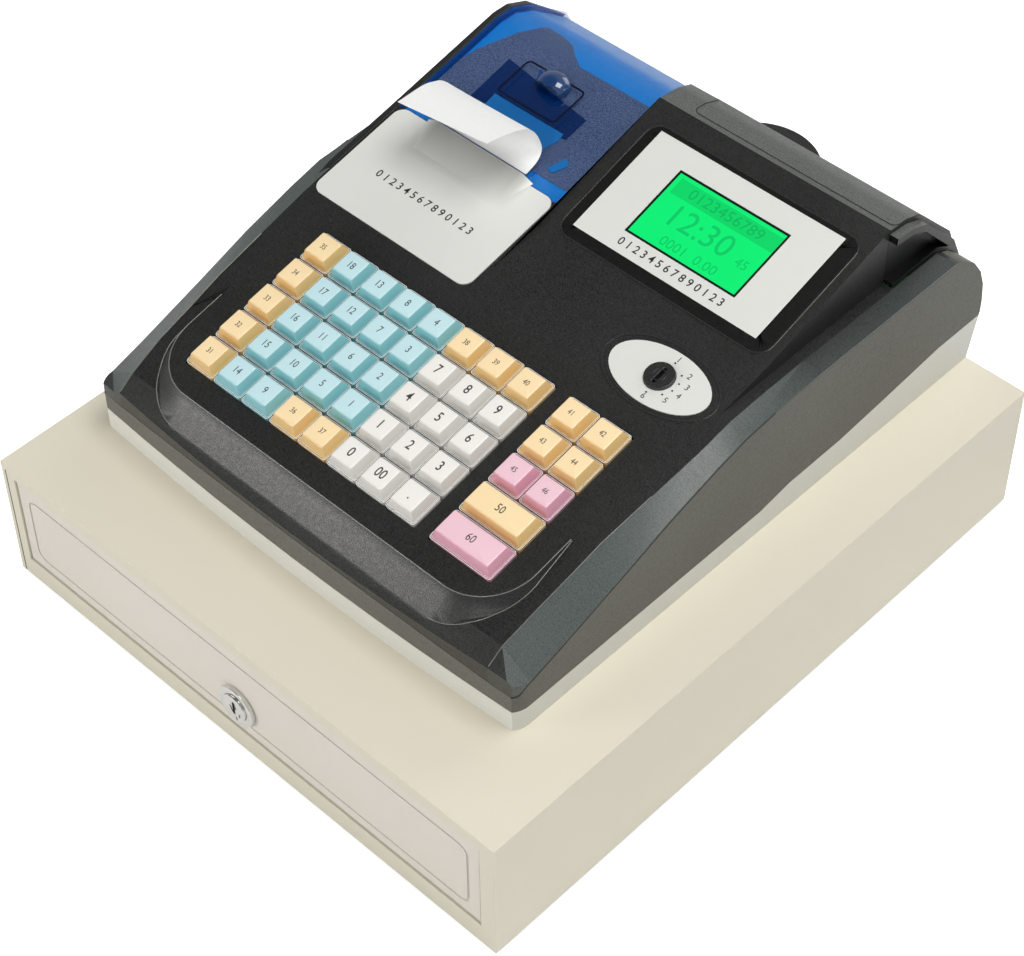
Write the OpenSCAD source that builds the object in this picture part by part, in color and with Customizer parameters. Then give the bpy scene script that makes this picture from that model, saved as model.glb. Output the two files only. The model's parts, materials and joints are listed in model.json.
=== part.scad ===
// Electronic ticket register standing on its steel cash drawer cabinet.
// Bench frame: X is centred on the cabinet, Y runs back from the cabinet's front
// face, Z starts at the cabinet's bottom edge. home() moves it to the part's origin.

/* [Cabinet] */
// Cabinet width
cab_w = 330; // [320:1:360]
// Cabinet depth
cab_d = 375; // [365:1:400]
// Cabinet height without its feet
cab_h = 77.5; // [76:0.5:90]
// Thickness of the cabinet's steel sheet
sheet = 1.5; // [1.2:0.1:2]
// Width of the front frame beside the drawer
frame_side = 9; // [7:0.5:10]
// Height of the front frame under the drawer
frame_low = 13; // [11:0.5:14]
// Height of the front frame over the drawer
frame_top = 7; // [5:0.5:8]
// Radius of a rubber foot
foot_r = 9; // [7:0.5:12]
// Height of a rubber foot
foot_h = 3; // [2:0.5:6]

/* [Drawer] */
// Thickness of the drawer's steel sheet
pan_t = 1.2; // [0.8:0.1:1.4]
// Height of the drawer pan
pan_h = 50; // [46:1:52]
// Gap between the drawer's back and the cabinet's rear wall
pan_rear_gap = 45.5; // [45:0.5:60]
// Radius of the four drawer rollers
roller_r = 6; // [5:0.25:6]
// Width of a drawer roller
roller_w = 6; // [4:0.5:6]
// Height of the cash tray
tray_h = 42; // [36:1:44]
// Wall thickness of the cash tray
tray_t = 2.5; // [1.5:0.1:3]
// Depth of a coin cup from front to back
cup_len = 90; // [70:1:110]
// Number of note bays
note_bays = 4; // [3:1:5]
// Number of coin cups
coin_cups = 5; // [4:1:6]
// Length of a note clip from its shaft to its tip
clip_len = 68; // [50:1:68]
// Slope of a resting note clip
clip_slope = 24; // [20:1:25]

/* [Lock] */
// Height of the lock's axis
lock_z = 31.7; // [30:0.1:34]
// Radius of the lock's plug
plug_r = 7.6; // [6:0.1:8]
// Radius of the lock's collar
collar_r = 11.6; // [10.5:0.1:13]
// Length of the cam from the lock's axis
cam_len = 24; // [22:0.5:26]

/* [Register] */
// Register width
reg_w = 276; // [272:1:290]
// Sideways place of the register's middle on the cabinet
reg_x = -9; // [-12:0.5:0]
// Register length, front corners to back wall
reg_len = 324; // [320:1:340]
// How far the middle of the front bows forward
front_bow = 3.8; // [2:0.1:5]
// Radius of the register's upright corners
corner_r = 12.5; // [10:0.5:14]
// Wall thickness of the plastic mouldings
wall = 2.2; // [1.8:0.1:2.6]
// Height of the silver base at the front
base_h = 12.5; // [10:0.5:14]
// Height of the wings beside the display
wing_h = 78.5; // [76:0.5:80]
// Slope of the key deck
deck_tilt = 12.31; // [11.5:0.1:13]
// Height of the deck's raised front edge
deck_front_h = 47.6; // [46:0.1:50]
// Distance from the register's front to the raised deck
deck_front = 11.5; // [10:0.5:13]
// Thickness of the deck
deck_t = 2.5; // [2:0.1:3]

/* [Keys] */
// Distance between key centres
pitch = 19.05; // [18.8:0.05:19.2]
// Gap between neighbouring keys
key_gap = 0.65; // [0.5:0.05:1]
// Width of a key's top face
key_top = 12.6; // [11:0.1:14]
// Height of a key over the deck
key_h = 6.5; // [5.5:0.1:8]
// Travel of a key, down to its switch's stop
key_travel = 3.5; // [2.5:0.1:3.8]
// Gap around the keys in their window
window_gap = 0.35; // [0.3:0.05:0.6]
// Rows of keys
key_rows = 5; // [5:1:5]
// Distance from the raised edge to the first row's centre, along the slope
first_row = 22.6; // [21:0.1:24]
// Left column's centre from the register's middle
first_col = -90.13; // [-92:0.01:-89]
// Place of the right block, in key pitches from the left column
right_block = 8.456; // [8.4:0.01:8.6]

/* [Printer] */
// Left edge of the printer bay from the register's middle
bay_left = -128; // [-128.5:0.1:-127]
// Right edge of the printer bay from the register's middle
bay_right = -19; // [-20:0.1:-18]
// Distance from the raised edge to the printer plate, along the slope
plate_start = 124.4; // [122:0.1:126]
// Thickness of the printer plate
plate_t = 1.6; // [1:0.1:2]
// Distance from the raised edge to the paper slot, along the slope
slot_start = 193; // [191:0.1:195]
// Wall thickness of the clear cover
cover_t = 2; // [1.5:0.1:2.4]
// Height of the hinged cover's ridge over the base
ridge_h = 104.7; // [103:0.1:106]
// Width of the paper
paper_w = 57; // [50:1:58]
// Height of the tear ramp on the printer plate
ramp_h = 3.5; // [2:0.1:4]
// Radius of the paper roll
roll_r = 25; // [15:1:27]
// Radius of the platen roller
platen_r = 6; // [5:0.1:6.5]
// Tooth size of the feed gears (module)
gear_module = 0.8; // [0.8:0.01:0.84]
// Teeth of the platen's gear
platen_teeth = 24; // [24:1:26]
// Teeth of the motor's pinion
pinion_teeth = 12; // [12:1:13]

/* [Display] */
// Slope of the display
display_tilt = 17.5; // [17:0.1:18]
// Distance from the register's front to the display's foot
display_start = 181; // [179:0.5:183]
// Distance from the register's front to the display's rear seam
display_end = 266; // [264:0.5:267]
// Width of the display window plate
window_w = 112.9; // [100:0.1:116]
// Length of the display window plate, along the slope
window_l = 65.5; // [60:0.1:68]
// Width of the display glass
lcd_w = 67.8; // [60:0.1:74]
// Length of the display glass, along the slope
lcd_l = 41.5; // [36:0.1:46]
// Height of the rear hood's crown over the base
hood_h = 110; // [108.5:0.1:111]
// Radius of the customer display's turret
turret_r = 32; // [28:0.5:33]
// Height of the turret's top over the base
turret_top = 78; // [76:0.5:79]

/* [Mode switch] */
// Sideways place of the switch from the register's middle
mode_x = 86.6; // [84:0.1:88]
// Distance from the last key row to the switch, along the slope
mode_rise = 41.6; // [40:0.1:43]
// Half length of the oval plate across the register
oval_a = 28.05; // [24:0.05:30]
// Half length of the oval plate along the slope
oval_b = 15.85; // [13:0.05:17]
// Radius of the switch's key cylinder
switch_r = 7.5; // [6:0.1:9]

/* [Main board] */
// Width of the main board
board_w = 150; // [130:1:160]
// Length of the main board from front to back
board_l = 100; // [90:1:110]
// Thickness of the circuit boards
board_t = 1.6; // [1:0.1:2]
// Height of the power module on the main board
power_h = 22; // [14:1:24]

/* [Hidden] */
$fn = 48;

eps = 0.01;
fit = 0.05;
clear = 0.3;

// Cabinet and drawer
inner_x = cab_w / 2 - sheet;
rear_in = cab_d - sheet;
open_x = cab_w / 2 - frame_side;
front_gap = 1;
front_y = 0.8;
front_lip = 10;
pan_x = open_x - 10;
pan_z = frame_low + 1.5;
pan_front = front_y + sheet;
pan_back = rear_in - pan_rear_gap;
rail_t = 1.5;
rail_x = pan_x + 1.5;
axle_r = 2.5;
roller_x = pan_x + 2;
roller_z = pan_z + 12.5;
front_roller_y = 20;
rear_roller_y = pan_back - 12;
runner_z = roller_z + roller_r + clear;
rail_low = roller_z - roller_r - clear;
rail_high = runner_z + pan_t + 2;
lock_x = -1;
barrel_r = plug_r + 1.8;
barrel_end = 26;
cam_t = 2.5;
cam_w = 14;
cam_gap = 1;
strike_w = 18;
tray_front = barrel_end + 10;
tray_gap = 1.5;
tray_back = pan_back - pan_t - tray_gap;
tray_x = pan_x - pan_t - 1;
tray_z = pan_z + pan_t;
cup_back = tray_front + cup_len;
shaft_r = 2;
shaft_y = tray_back - 10;
shaft_z = tray_z + tray_h - 9.5;
clip_w = 20;

// Latch behind the drawer, and the catch pin that it hooks
latch_x = 1.5;
latch_y = rear_in - 14;
latch_z = 19.5;
latch_t = 3.5;
latch_arm = 27;
latch_r = 6.5;
jaw = 5;
catch_x = latch_x + 7.5;
catch_y = latch_y - 17.5;
catch_z = latch_z + latch_t + 1;
catch_w = 12;
link_x = 31;
link_r = 1.8;
post_r = 2.5;
plunger_r = 5;
spring_x = -60;
spring_r = 7;
wire_r = 0.9;
spring_turns = 7;

// Register
front = cab_d - reg_len;
half_w = reg_w / 2;
rear_r = 41;
rear_h = 34.5;
rear_rise = 45.5;
rear_bulge = 6;
seam_gap = 0.3;
plateau_left = reg_x - 115;
plateau_right = reg_x + 112.7;
plateau_r = 29;
// The raised deck's wall, as distances outwards and down from its edge
cove = [[0, 0], [1.2, 2.2], [3.4, 4.6], [6.4, 7.6], [10, 11], [13.5, 14], [13.5, 45]];
flush_y = front + 149;
body_y = flush_y - 9;
tan_deck = tan(deck_tilt);
deck_y = front + deck_front;
middle = (cab_d + rear_bulge + (front_y - lock_proud())) / 2;

// Keys, measured down from the deck
skirt_h = 5;
switch_top = skirt_h + key_travel + 0.7;
switch_h = 5.8;
board_top = switch_top + switch_h;
stem_end = board_top - key_travel - 0.5;
stem_r = 2;
switch_w = 12;

// Printer and display
bay_x0 = reg_x + bay_left;
bay_x1 = reg_x + bay_right;
paper_x = (bay_x0 + bay_x1) / 2;
hinge_y = cab_d - 4;
hinge_z = cab_h + 64.5;
hinge_r = 2.4;
hinge_pin_r = 1.5;
ear_r = 3.2;
crease_y = cab_d - 52;
crease_half = 6;
lug_y = crease_y - 21;
lug_r = 9;
slope_y = cab_d - 7;
slope_h = 78.5;
frame_t = 2.5;
frame_x0 = bay_x0 + 3;
frame_x1 = bay_x1 - 5;
frame_y = front + 196;
frame_z = cab_h + 34.5;
frame_h = 90;
ramp_start = 172.5;
ramp_end = slot_start - 3;
display_x0 = bay_x1;
display_x1 = reg_x + 122;
seam_y = front + display_end;
plate_margin = 8.9;
lcd_x = 22.8;
lcd_y = 20.4;
plate_sink = 0.6;
lip_drop = 2.5;
lip_t = 4;
hood_low = 62.5;
wing_x = reg_x + 127;
turret_x = reg_x + 23;
turret_y = cab_d - turret_r;
turret_z = cab_h + 36.5;
platen_y = front + 211;
platen_z = cab_h + 75.5;
platen_shaft_r = 2.5;
gear_w = 5;
gear_x = frame_x1 - 13;
gear_gap = 0.3;
gear_distance = gear_module * (platen_teeth + pinion_teeth) / 2 + gear_gap;
motor_r = 7.5;
motor_z = platen_z - gear_distance;
roll_y = cab_d - 42;
roll_z = cab_h + 62.5;
spindle_r = 6;
pivot_r = 5;
screw_r = 2;
screw_x = 110;
board_x = reg_x - 60;
board_y = front + 60;
board_z = cab_h + 8;

// Heights of the register's lines over its base, by distance from the front
seam_line = [[-4, 27.5], [0, 23], [3, 23], [7, 27.5], [29, 34.5], [49, 41.5], [69, 48.5],
    [99, 59.5], [129, 68.5], [149, 73.5], [169, 75.5], [189, 76]];
base_line = [[-4, base_h], [164, base_h + 1], [185, base_h + 4.5], [222, base_h + 5],
    [255, base_h + 8], [297, base_h + 12.5]];
edge_line = [[-4, 30], [9, 39.5], [29, 47.5], [49, 53.5], [69, 60.1]];
edge_inset = [[-4, 16.5], [9, 16.4], [29, 15], [69, 13.4], [129, 10.2], [149, 10], [201, 11]];

// Distance that the lock stands out of the drawer's front.
function lock_proud() = 3.3;
function deck_h(y) = deck_front_h + (y - deck_y) * tan_deck;
function edge_h(d) = d < 69 ? lookup(d, edge_line) : min(deck_h(front + d), wing_h);
function display_h(y) = deck_h(front + display_start)
    + (y - front - display_start) * tan(display_tilt);
function slot_y() = deck_y + slot_start * cos(deck_tilt);
function cover_y() = slot_y() - 4.1;
function cover_slope() = (ridge_h - 1.3 - deck_h(cover_y())) / (crease_y - crease_half - cover_y());
function cover_h(y) = deck_h(cover_y()) + (y - cover_y()) * cover_slope();

module home() translate([0, -middle, foot_h]) children();

// Extrudes a (y, z) outline from x0 to x1.
module along_x(x0, x1) translate([x0, 0, 0]) rotate([90, 0, 90]) linear_extrude(x1 - x0)
    children();

// Extrudes an (x, z) outline from y0 back to y1.
module along_y(y0, y1) translate([0, y1, 0]) rotate([90, 0, 0]) linear_extrude(y1 - y0)
    children();

module rod_x(x0, x1, y, z, r) translate([x0, y, z]) rotate([0, 90, 0]) cylinder(r = r, h = x1 - x0);

module rod_y(x, y0, y1, z, r) translate([x, y0, z]) rotate([-90, 0, 0]) cylinder(r = r, h = y1 - y0);

module box(low, high) translate(low) cube(high - low);

// Flat rounded rectangle between two corners.
module round_rect(low, high, r) {
    translate([low.x + r, low.y]) square([high.x - low.x - 2 * r, high.y - low.y]);
    translate([low.x, low.y + r]) square([high.x - low.x, high.y - low.y - 2 * r]);
    for (x = [low.x + r, high.x - r], y = [low.y + r, high.y - r])
        translate([x, y]) circle(r);
}

// Frame of the key deck: origin on its raised front edge, Y up the slope, Z outwards.
module on_deck() translate([reg_x, deck_y, cab_h + deck_front_h]) rotate([deck_tilt, 0, 0])
    children();

// Frame of the display: origin at its foot.
module on_display() translate([display_x0, front + display_start,
    cab_h + deck_h(front + display_start)]) rotate([display_tilt, 0, 0]) children();

// ---- Cabinet ----

module cabinet_shell() color("antiquewhite") difference() {
    translate([-cab_w / 2, 0, 0]) cube([cab_w, cab_d, cab_h]);
    translate([-inner_x, sheet, -eps]) cube([2 * inner_x, cab_d - 2 * sheet, cab_h - sheet + eps]);
    box([-open_x, -eps, frame_low], [open_x, sheet + eps, cab_h - frame_top]);
    for (x = [-screw_x, screw_x], y = screw_rows()) translate([reg_x + x, y, cab_h - sheet - eps])
        cylinder(r = screw_r + fit, h = sheet + 2 * eps);
}

module cabinet_floor() color("silver") {
    difference() {
        box([-inner_x, sheet, 0], [inner_x, rear_in, sheet]);
        for (x = foot_places_x(), y = foot_places_y()) translate([x, y, -eps])
            cylinder(r = axle_r + fit, h = sheet + 2 * eps);
    }
    // Strike for the lock's cam
    box([lock_x - strike_w / 2, barrel_end - sheet - cam_gap, sheet - eps],
        [lock_x + strike_w / 2, barrel_end - cam_gap, frame_low]);
    // Pivot post of the latch
    translate([latch_x, latch_y, sheet - eps]) cylinder(r = 5, h = latch_z - sheet - clear);
    translate([latch_x, latch_y, sheet]) cylinder(r = post_r, h = latch_z + latch_t + 3 - sheet);
}

function foot_places_x() = [-inner_x + 20, inner_x - 20];
function foot_places_y() = [sheet + 22, rear_in - 22];
function screw_rows() = [front + 30, cab_d - 30];

module rubber_feet() color("dimgray") for (x = foot_places_x(), y = foot_places_y())
    translate([x, y, -foot_h]) {
        cylinder(r = foot_r, h = foot_h);
        cylinder(r = axle_r, h = foot_h + sheet + 2);
        translate([0, 0, foot_h + sheet]) cylinder(r = axle_r + 2, h = 2);
    }

module slide_rails() color("gainsboro") for (side = [0, 1]) mirror([side, 0, 0]) {
    difference() {
        along_y(8, pan_back + 6) union() {
            translate([inner_x - rail_t, rail_low - rail_t])
                square([rail_t, rail_high - rail_low + 2 * rail_t]);
            translate([rail_x, rail_low - rail_t]) square([inner_x - rail_x, rail_t]);
            translate([rail_x, rail_high]) square([inner_x - rail_x, rail_t]);
        }
        // The front roller stands in a gap of the lower flange
        box([rail_x - eps, front_roller_y - roller_r - 2, rail_low - rail_t - eps],
            [inner_x - rail_t, front_roller_y + roller_r + 2, rail_low + eps]);
    }
    rod_x(roller_x, inner_x - rail_t + eps, front_roller_y, roller_z, axle_r);
}

module roller(y) difference() {
    rod_x(roller_x, roller_x + roller_w, y, roller_z, roller_r);
    rod_x(roller_x - eps, roller_x + roller_w + eps, y, roller_z, axle_r + fit);
}

module rail_rollers() color("white") for (side = [0, 1]) mirror([side, 0, 0]) roller(front_roller_y);

// ---- Drawer ----

module drawer_pan() color("gainsboro") {
    difference() {
        box([-pan_x, pan_front, pan_z], [pan_x, pan_back, pan_z + pan_h]);
        box([-pan_x + pan_t, pan_front + pan_t, pan_z + pan_t],
            [pan_x - pan_t, pan_back - pan_t, pan_z + pan_h + eps]);
        rod_y(lock_x, pan_front - eps, pan_front + pan_t + eps, lock_z, barrel_r + fit);
        // Slot that lets the lock's cam swing down
        box([lock_x - cam_w / 2 - 1, barrel_end - 1, pan_z - eps],
            [lock_x + cam_len, barrel_end + cam_t + 3, pan_z + pan_t + eps]);
    }
    for (side = [0, 1]) mirror([side, 0, 0]) {
        box([pan_x - eps, pan_front + 8, runner_z], [pan_x + 9, pan_back, runner_z + pan_t]);
        rod_x(pan_x - eps, roller_x + roller_w, rear_roller_y, roller_z, axle_r);
    }
}

module drawer_front() color("linen") {
    difference() {
        box([-open_x + front_gap, front_y, frame_low + front_gap],
            [open_x - front_gap, front_y + front_lip, cab_h - frame_top - front_gap]);
        box([-open_x + front_gap + sheet, pan_front, frame_low + front_gap + sheet],
            [open_x - front_gap - sheet, front_y + front_lip + eps, cab_h - frame_top - front_gap - sheet]);
        // Room for the pan behind the front
        box([-pan_x - 9 - clear, pan_front, pan_z - clear],
            [pan_x + 9 + clear, front_y + front_lip + eps, pan_z + pan_h + clear]);
        rod_y(lock_x, front_y - eps, pan_front + eps, lock_z, barrel_r + fit);
        // Pressed line around the front
        along_y(front_y - eps, front_y + 0.5) difference() {
            round_rect([-open_x + 7.5, frame_low + 7], [open_x - 7.5, cab_h - frame_top - 8], 6);
            round_rect([-open_x + 8.7, frame_low + 8.2], [open_x - 8.7, cab_h - frame_top - 9.2], 4.8);
        }
    }
}

module drawer_rollers() color("white") for (side = [0, 1]) mirror([side, 0, 0]) roller(rear_roller_y);

module lock_collar() color("silver") difference() {
    union() {
        rod_y(lock_x, front_y - 2.4, front_y, lock_z, collar_r);
        rod_y(lock_x, front_y - eps, barrel_end, lock_z, barrel_r);
    }
    rod_y(lock_x, front_y - 3, barrel_end + eps, lock_z, plug_r + fit);
}

module lock_plug() color("silver") difference() {
    union() {
        rod_y(lock_x, front_y - lock_proud(), barrel_end + 0.6, lock_z, plug_r);
        rod_y(lock_x, barrel_end, barrel_end + 0.6 + cam_t + 2, lock_z, 3);
    }
    box([lock_x - 0.8, front_y - lock_proud() - eps, lock_z - 4],
        [lock_x + 0.8, front_y + 6, lock_z + 4]);
}

module lock_cam() color("gray") difference() {
    along_y(barrel_end + 0.6, barrel_end + 0.6 + cam_t) translate([lock_x, lock_z]) {
        circle(cam_w / 2);
        translate([0, -5]) square([cam_len, 10]);
    }
    rod_y(lock_x, barrel_end, barrel_end + 1 + cam_t, lock_z, 3);
}

// Bracket on the pan's rear wall, with the pin that the latch hooks.
module drawer_catch() color("silver") {
    for (size = [[pan_back + pan_t, catch_z + catch_w], [catch_y + 4, catch_z + pan_t]])
        box([catch_x - catch_w / 2, pan_back, catch_z], [catch_x + catch_w / 2, size[0], size[1]]);
    translate([catch_x, catch_y, latch_z - 3]) cylinder(r = post_r, h = catch_z + pan_t + 3 - latch_z);
}

module cash_tray() color("dimgray") {
    bay_w = (2 * tray_x - tray_t * (note_bays + 1)) / note_bays;
    cup_w = (2 * tray_x - tray_t * (coin_cups + 1)) / coin_cups;
    difference() {
        box([-tray_x, tray_front, tray_z], [tray_x, tray_back, tray_z + tray_h]);
        for (i = [0:coin_cups - 1]) translate([-tray_x + tray_t + i * (cup_w + tray_t),
            tray_front + tray_t, tray_z + tray_t]) cube([cup_w, cup_len - 1.5 * tray_t, tray_h]);
        for (i = [0:note_bays - 1]) translate([-tray_x + tray_t + i * (bay_w + tray_t),
            cup_back + tray_t / 2, tray_z + tray_t])
            cube([bay_w, tray_back - cup_back - 1.5 * tray_t, tray_h]);
    }
    rod_x(-tray_x + eps, tray_x - eps, shaft_y, shaft_z, shaft_r);
}

module bill_clips() color("silver") {
    bay_w = (2 * tray_x - tray_t * (note_bays + 1)) / note_bays;
    for (i = [0:note_bays - 1]) {
        x = -tray_x + tray_t + bay_w / 2 + i * (bay_w + tray_t);
        translate([x, shaft_y, shaft_z]) rotate([clip_slope, 0, 0]) difference() {
            union() {
                rod_x(-clip_w / 2, clip_w / 2, 0, 0, shaft_r + 1.5);
                box([-clip_w / 2, -clip_len, shaft_r + 0.3], [clip_w / 2, 0, shaft_r + 1.5]);
                rod_x(-clip_w / 2, clip_w / 2, -clip_len, shaft_r - 0.5, 2);
            }
            rod_x(-clip_w / 2 - eps, clip_w / 2 + eps, 0, 0, shaft_r + fit);
        }
    }
}

module drawer_latch() color("silver") translate([latch_x, latch_y, latch_z]) difference() {
    linear_extrude(latch_t) {
        circle(latch_r);
        translate([-3.5, -latch_arm]) square([4, latch_arm]);
        translate([-3.5, -latch_arm]) square([7, jaw]);
        translate([0, -3]) square([link_x - latch_x + 6, 6]);
        translate([link_x - latch_x, 0]) circle(4.5);
    }
    translate([0, 0, -eps]) cylinder(r = post_r + fit, h = latch_t + 2 * eps);
    // Slot for the plunger's link pin
    slot = link_r + 1.1;
    translate([link_x - latch_x - slot, -link_r - 0.4, -eps])
        cube([2 * slot, 2 * link_r + 0.8, latch_t + 2 * eps]);
}

module latch_solenoid() color("goldenrod") difference() {
    union() {
        box([link_x - 11, pan_back + 2.5, latch_z - 12], [link_x + 11, pan_back + 20, latch_z + 15]);
        box([link_x - 11, pan_back + 2.5, sheet], [link_x + 11, pan_back + 20, latch_z - 12 + eps]);
    }
    rod_y(link_x, pan_back + 4, pan_back + 20 + eps, latch_z + latch_t / 2, plunger_r + fit);
}

module solenoid_plunger() color("silver") {
    z = latch_z + latch_t / 2;
    fork = latch_t / 2 + 0.6;
    rod_y(link_x, pan_back + 5, latch_y - 6.5, z, plunger_r);
    for (low = [z - plunger_r, z + fork])
        box([link_x - 3, latch_y - 8, low], [link_x + 3, latch_y + 3.5, low + plunger_r - fork]);
    translate([link_x, latch_y, z - plunger_r]) cylinder(r = link_r, h = 2 * plunger_r);
}

// Round wire swept along a helix whose axis is Y.
module helix(r, wire, turns, length, steps = 14, sides = 6) {
    count = turns * steps;
    function ring(i) = let (a = 360 * i / steps, y = length * i / count)
        [for (j = [0:sides - 1]) let (b = 360 * j / sides, d = r + wire * cos(b))
            [d * cos(a), y + wire * sin(b), d * sin(a)]];
    skin([for (i = [0:count]) ring(i)]);
}

// Closed skin over rings that hold the same number of points.
module skin(rings) {
    m = len(rings[0]);
    n = len(rings);
    polyhedron(points = [for (ring = rings) for (p = ring) p],
        faces = concat(
            [[for (j = [0:m - 1]) j]],
            [[for (j = [m - 1:-1:0]) (n - 1) * m + j]],
            [for (i = [0:n - 2], j = [0:m - 1]) let (k = (j + 1) % m)
                [i * m + j, (i + 1) * m + j, i * m + k]],
            [for (i = [0:n - 2], j = [0:m - 1]) let (k = (j + 1) % m)
                [(i + 1) * m + j, (i + 1) * m + k, i * m + k]]));
}

module eject_spring() color("silver") {
    length = pan_rear_gap - 4;
    translate([spring_x, pan_back + 1 + wire_r, 40]) helix(spring_r, wire_r, spring_turns, length);
    rod_y(spring_x, pan_back + length - 0.5, rear_in, 40, spring_r + 2);
}

// ---- Register mouldings ----

// Plan of the register, drawn in by a distance.
module plan(inset) translate([reg_x, 0]) intersection() {
    round_rect([-half_w + inset, front - front_bow + inset], [half_w - inset, cab_d + 20],
        corner_r - inset);
    bow_r = (pow(half_w - corner_r, 2) + pow(front_bow, 2)) / (2 * front_bow);
    translate([0, front - front_bow + bow_r]) circle(bow_r - inset, $fn = 360);
}

// Side view of the register up to the wings, drawn in by a distance.
function rear_curve(inset) = [for (a = [0:15:90])
    [cab_d + rear_bulge - rear_r + (rear_r - inset) * cos(a),
        cab_h + rear_h + (rear_rise - inset) * sin(a)]];

module side_view(inset) polygon(concat([[front - 20, cab_h + wing_h + 20], [front - 20, cab_h - 20],
    [cab_d - inset - 2, cab_h - 20], [cab_d - inset, cab_h],
    [cab_d + rear_bulge - inset, cab_h + rear_h - 7]],
    rear_curve(inset), [[cab_d + rear_bulge - rear_r, cab_h + wing_h + 20]]));

// Material below a height line, from front to rear.
module below(line, drop) polygon(concat([[front - 20, cab_h - 20],
    [front - 20, cab_h + line[0][1] - drop]],
    [for (p = line) [front + p[0], cab_h + p[1] - drop]],
    [[cab_d + 20, cab_h + line[len(line) - 1][1] - drop], [cab_d + 20, cab_h - 20]]));

module register_body(inset) intersection() {
    translate([0, 0, cab_h - 1]) linear_extrude(wing_h + 2) plan(inset);
    along_x(reg_x - half_w, reg_x + half_w) side_view(inset);
}

module base_tray() color("lightgray") {
    difference() {
        intersection() {
            register_body(0);
            along_x(reg_x - half_w, reg_x + half_w) below(base_line, 0);
            box([-cab_w, 0, cab_h], [cab_w, 2 * cab_d, 2 * cab_h]);
        }
        intersection() {
            register_body(wall);
            box([-cab_w, 0, cab_h + wall], [cab_w, 2 * cab_d, 2 * cab_h]);
        }
        for (x = [-screw_x, screw_x], y = screw_rows()) translate([reg_x + x, y, cab_h - eps])
            cylinder(r = screw_r + fit, h = wall + 2 * eps);
    }
    for (x = [-screw_x, screw_x], y = screw_rows()) translate([reg_x + x, y, cab_h + wall - eps])
        difference() {
            cylinder(r = screw_r + 3, h = 7.5);
            translate([0, 0, -eps]) cylinder(r = screw_r + fit, h = 8);
        }
    // Column that carries the customer display
    translate([turret_x, turret_y, cab_h + wall - eps])
        cylinder(r = pivot_r + 4, h = turret_z - clear - cab_h - wall);
    translate([turret_x, turret_y, cab_h + wall]) cylinder(r = pivot_r, h = turret_z + 14 - cab_h - wall);
}

module lower_housing() color("dimgray") difference() {
    intersection() {
        register_body(0);
        along_x(reg_x - half_w, reg_x + half_w) difference() {
            below(seam_line, 0);
            below(base_line, -seam_gap);
        }
    }
    register_body(wall);
    // Room behind the printer bay, the display and the hood
    box([bay_x0, flush_y, cab_h + hood_low - 3], [bay_x1, cab_d + 20, cab_h + 100]);
    box([bay_x1 - eps, flush_y, cab_h + hood_low - 6], [wing_x, cab_d + 20, cab_h + 100]);
    // Window for the customer display
    box([turret_x - turret_r + 4, turret_y, turret_z + 2],
        [turret_x + turret_r - 4, cab_d + 20, cab_h + 80]);
    translate([turret_x, turret_y, turret_z - 1]) cylinder(r = turret_r + 0.6, h = 60);
}

// Solid whose top is the outer deck with its sloping side strips, drawn in and down.
module deck_solid(inset, drop) {
    stops = [-4, 9, 29, 49, 69, 99, 129, 149, 201, reg_len + rear_bulge];
    skin([for (d = stops) let (
            e = half_w - lookup(d, edge_inset) - inset * 0.6,
            h = cab_h + edge_h(d) - drop,
            s = cab_h + min(lookup(d, seam_line) + 1.5, edge_h(d)) - drop,
            w = half_w - inset,
            y = front + (d < 0 ? d + inset : d))
        [[reg_x - w, y, cab_h + 10], [reg_x - w, y, s], [reg_x - e, y, h],
            [reg_x + e, y, h], [reg_x + w, y, s], [reg_x + w, y, cab_h + 10]]]);
}

// Plan of the raised deck, clockwise, widened by a distance.
function plateau(grow) = let (r = plateau_r + grow, x = [plateau_left - grow + r, plateau_right + grow - r],
        y = [deck_y - grow + r, front + 200 + grow - r])
    [for (k = [0:3], a = [0:15:90])
        [x[k == 1 || k == 2 ? 1 : 0] + r * cos(180 - 90 * k - a),
            y[k < 2 ? 1 : 0] + r * sin(180 - 90 * k - a)]];

// The raised key deck, flush with the outer deck towards the back. Each ring is a distance
// outwards and one down from the deck's edge.
module raised_deck(rings) intersection() {
    skin([for (ring = rings) [for (p = plateau(ring[0])) [p.x, p.y, cab_h + deck_h(p.y) - ring[1]]]]);
    box([-cab_w, 0, cab_h], [cab_w, flush_y, 3 * cab_h]);
}

// Side view of the printer bay's rim, raised by a distance.
module rim_view(rise) polygon([[body_y, cab_h + 60], [body_y, cab_h + deck_h(body_y) - deck_t],
    [flush_y, cab_h + deck_h(flush_y) + rise], [frame_y - 1, cab_h + deck_h(frame_y - 1) + rise],
    [crease_y - crease_half, cab_h + ridge_h - 1 + rise], [crease_y + 4, cab_h + ridge_h - 1 + rise],
    [crease_y + 18, cab_h + ridge_h - 6], [slope_y, cab_h + slope_h - 2], [slope_y, cab_h + 60]]);

// Side view of the display's wedge, drawn in from behind and down.
module display_view(inset, drop) polygon([[body_y, cab_h + 40], [body_y, cab_h + deck_h(body_y) - deck_t],
    [flush_y - 1, cab_h + deck_h(flush_y - 1) - drop],
    [front + display_start, cab_h + deck_h(front + display_start) - drop],
    [seam_y - inset, cab_h + display_h(seam_y) - drop * 1.3], [seam_y - inset, cab_h + 40]]);

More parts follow.
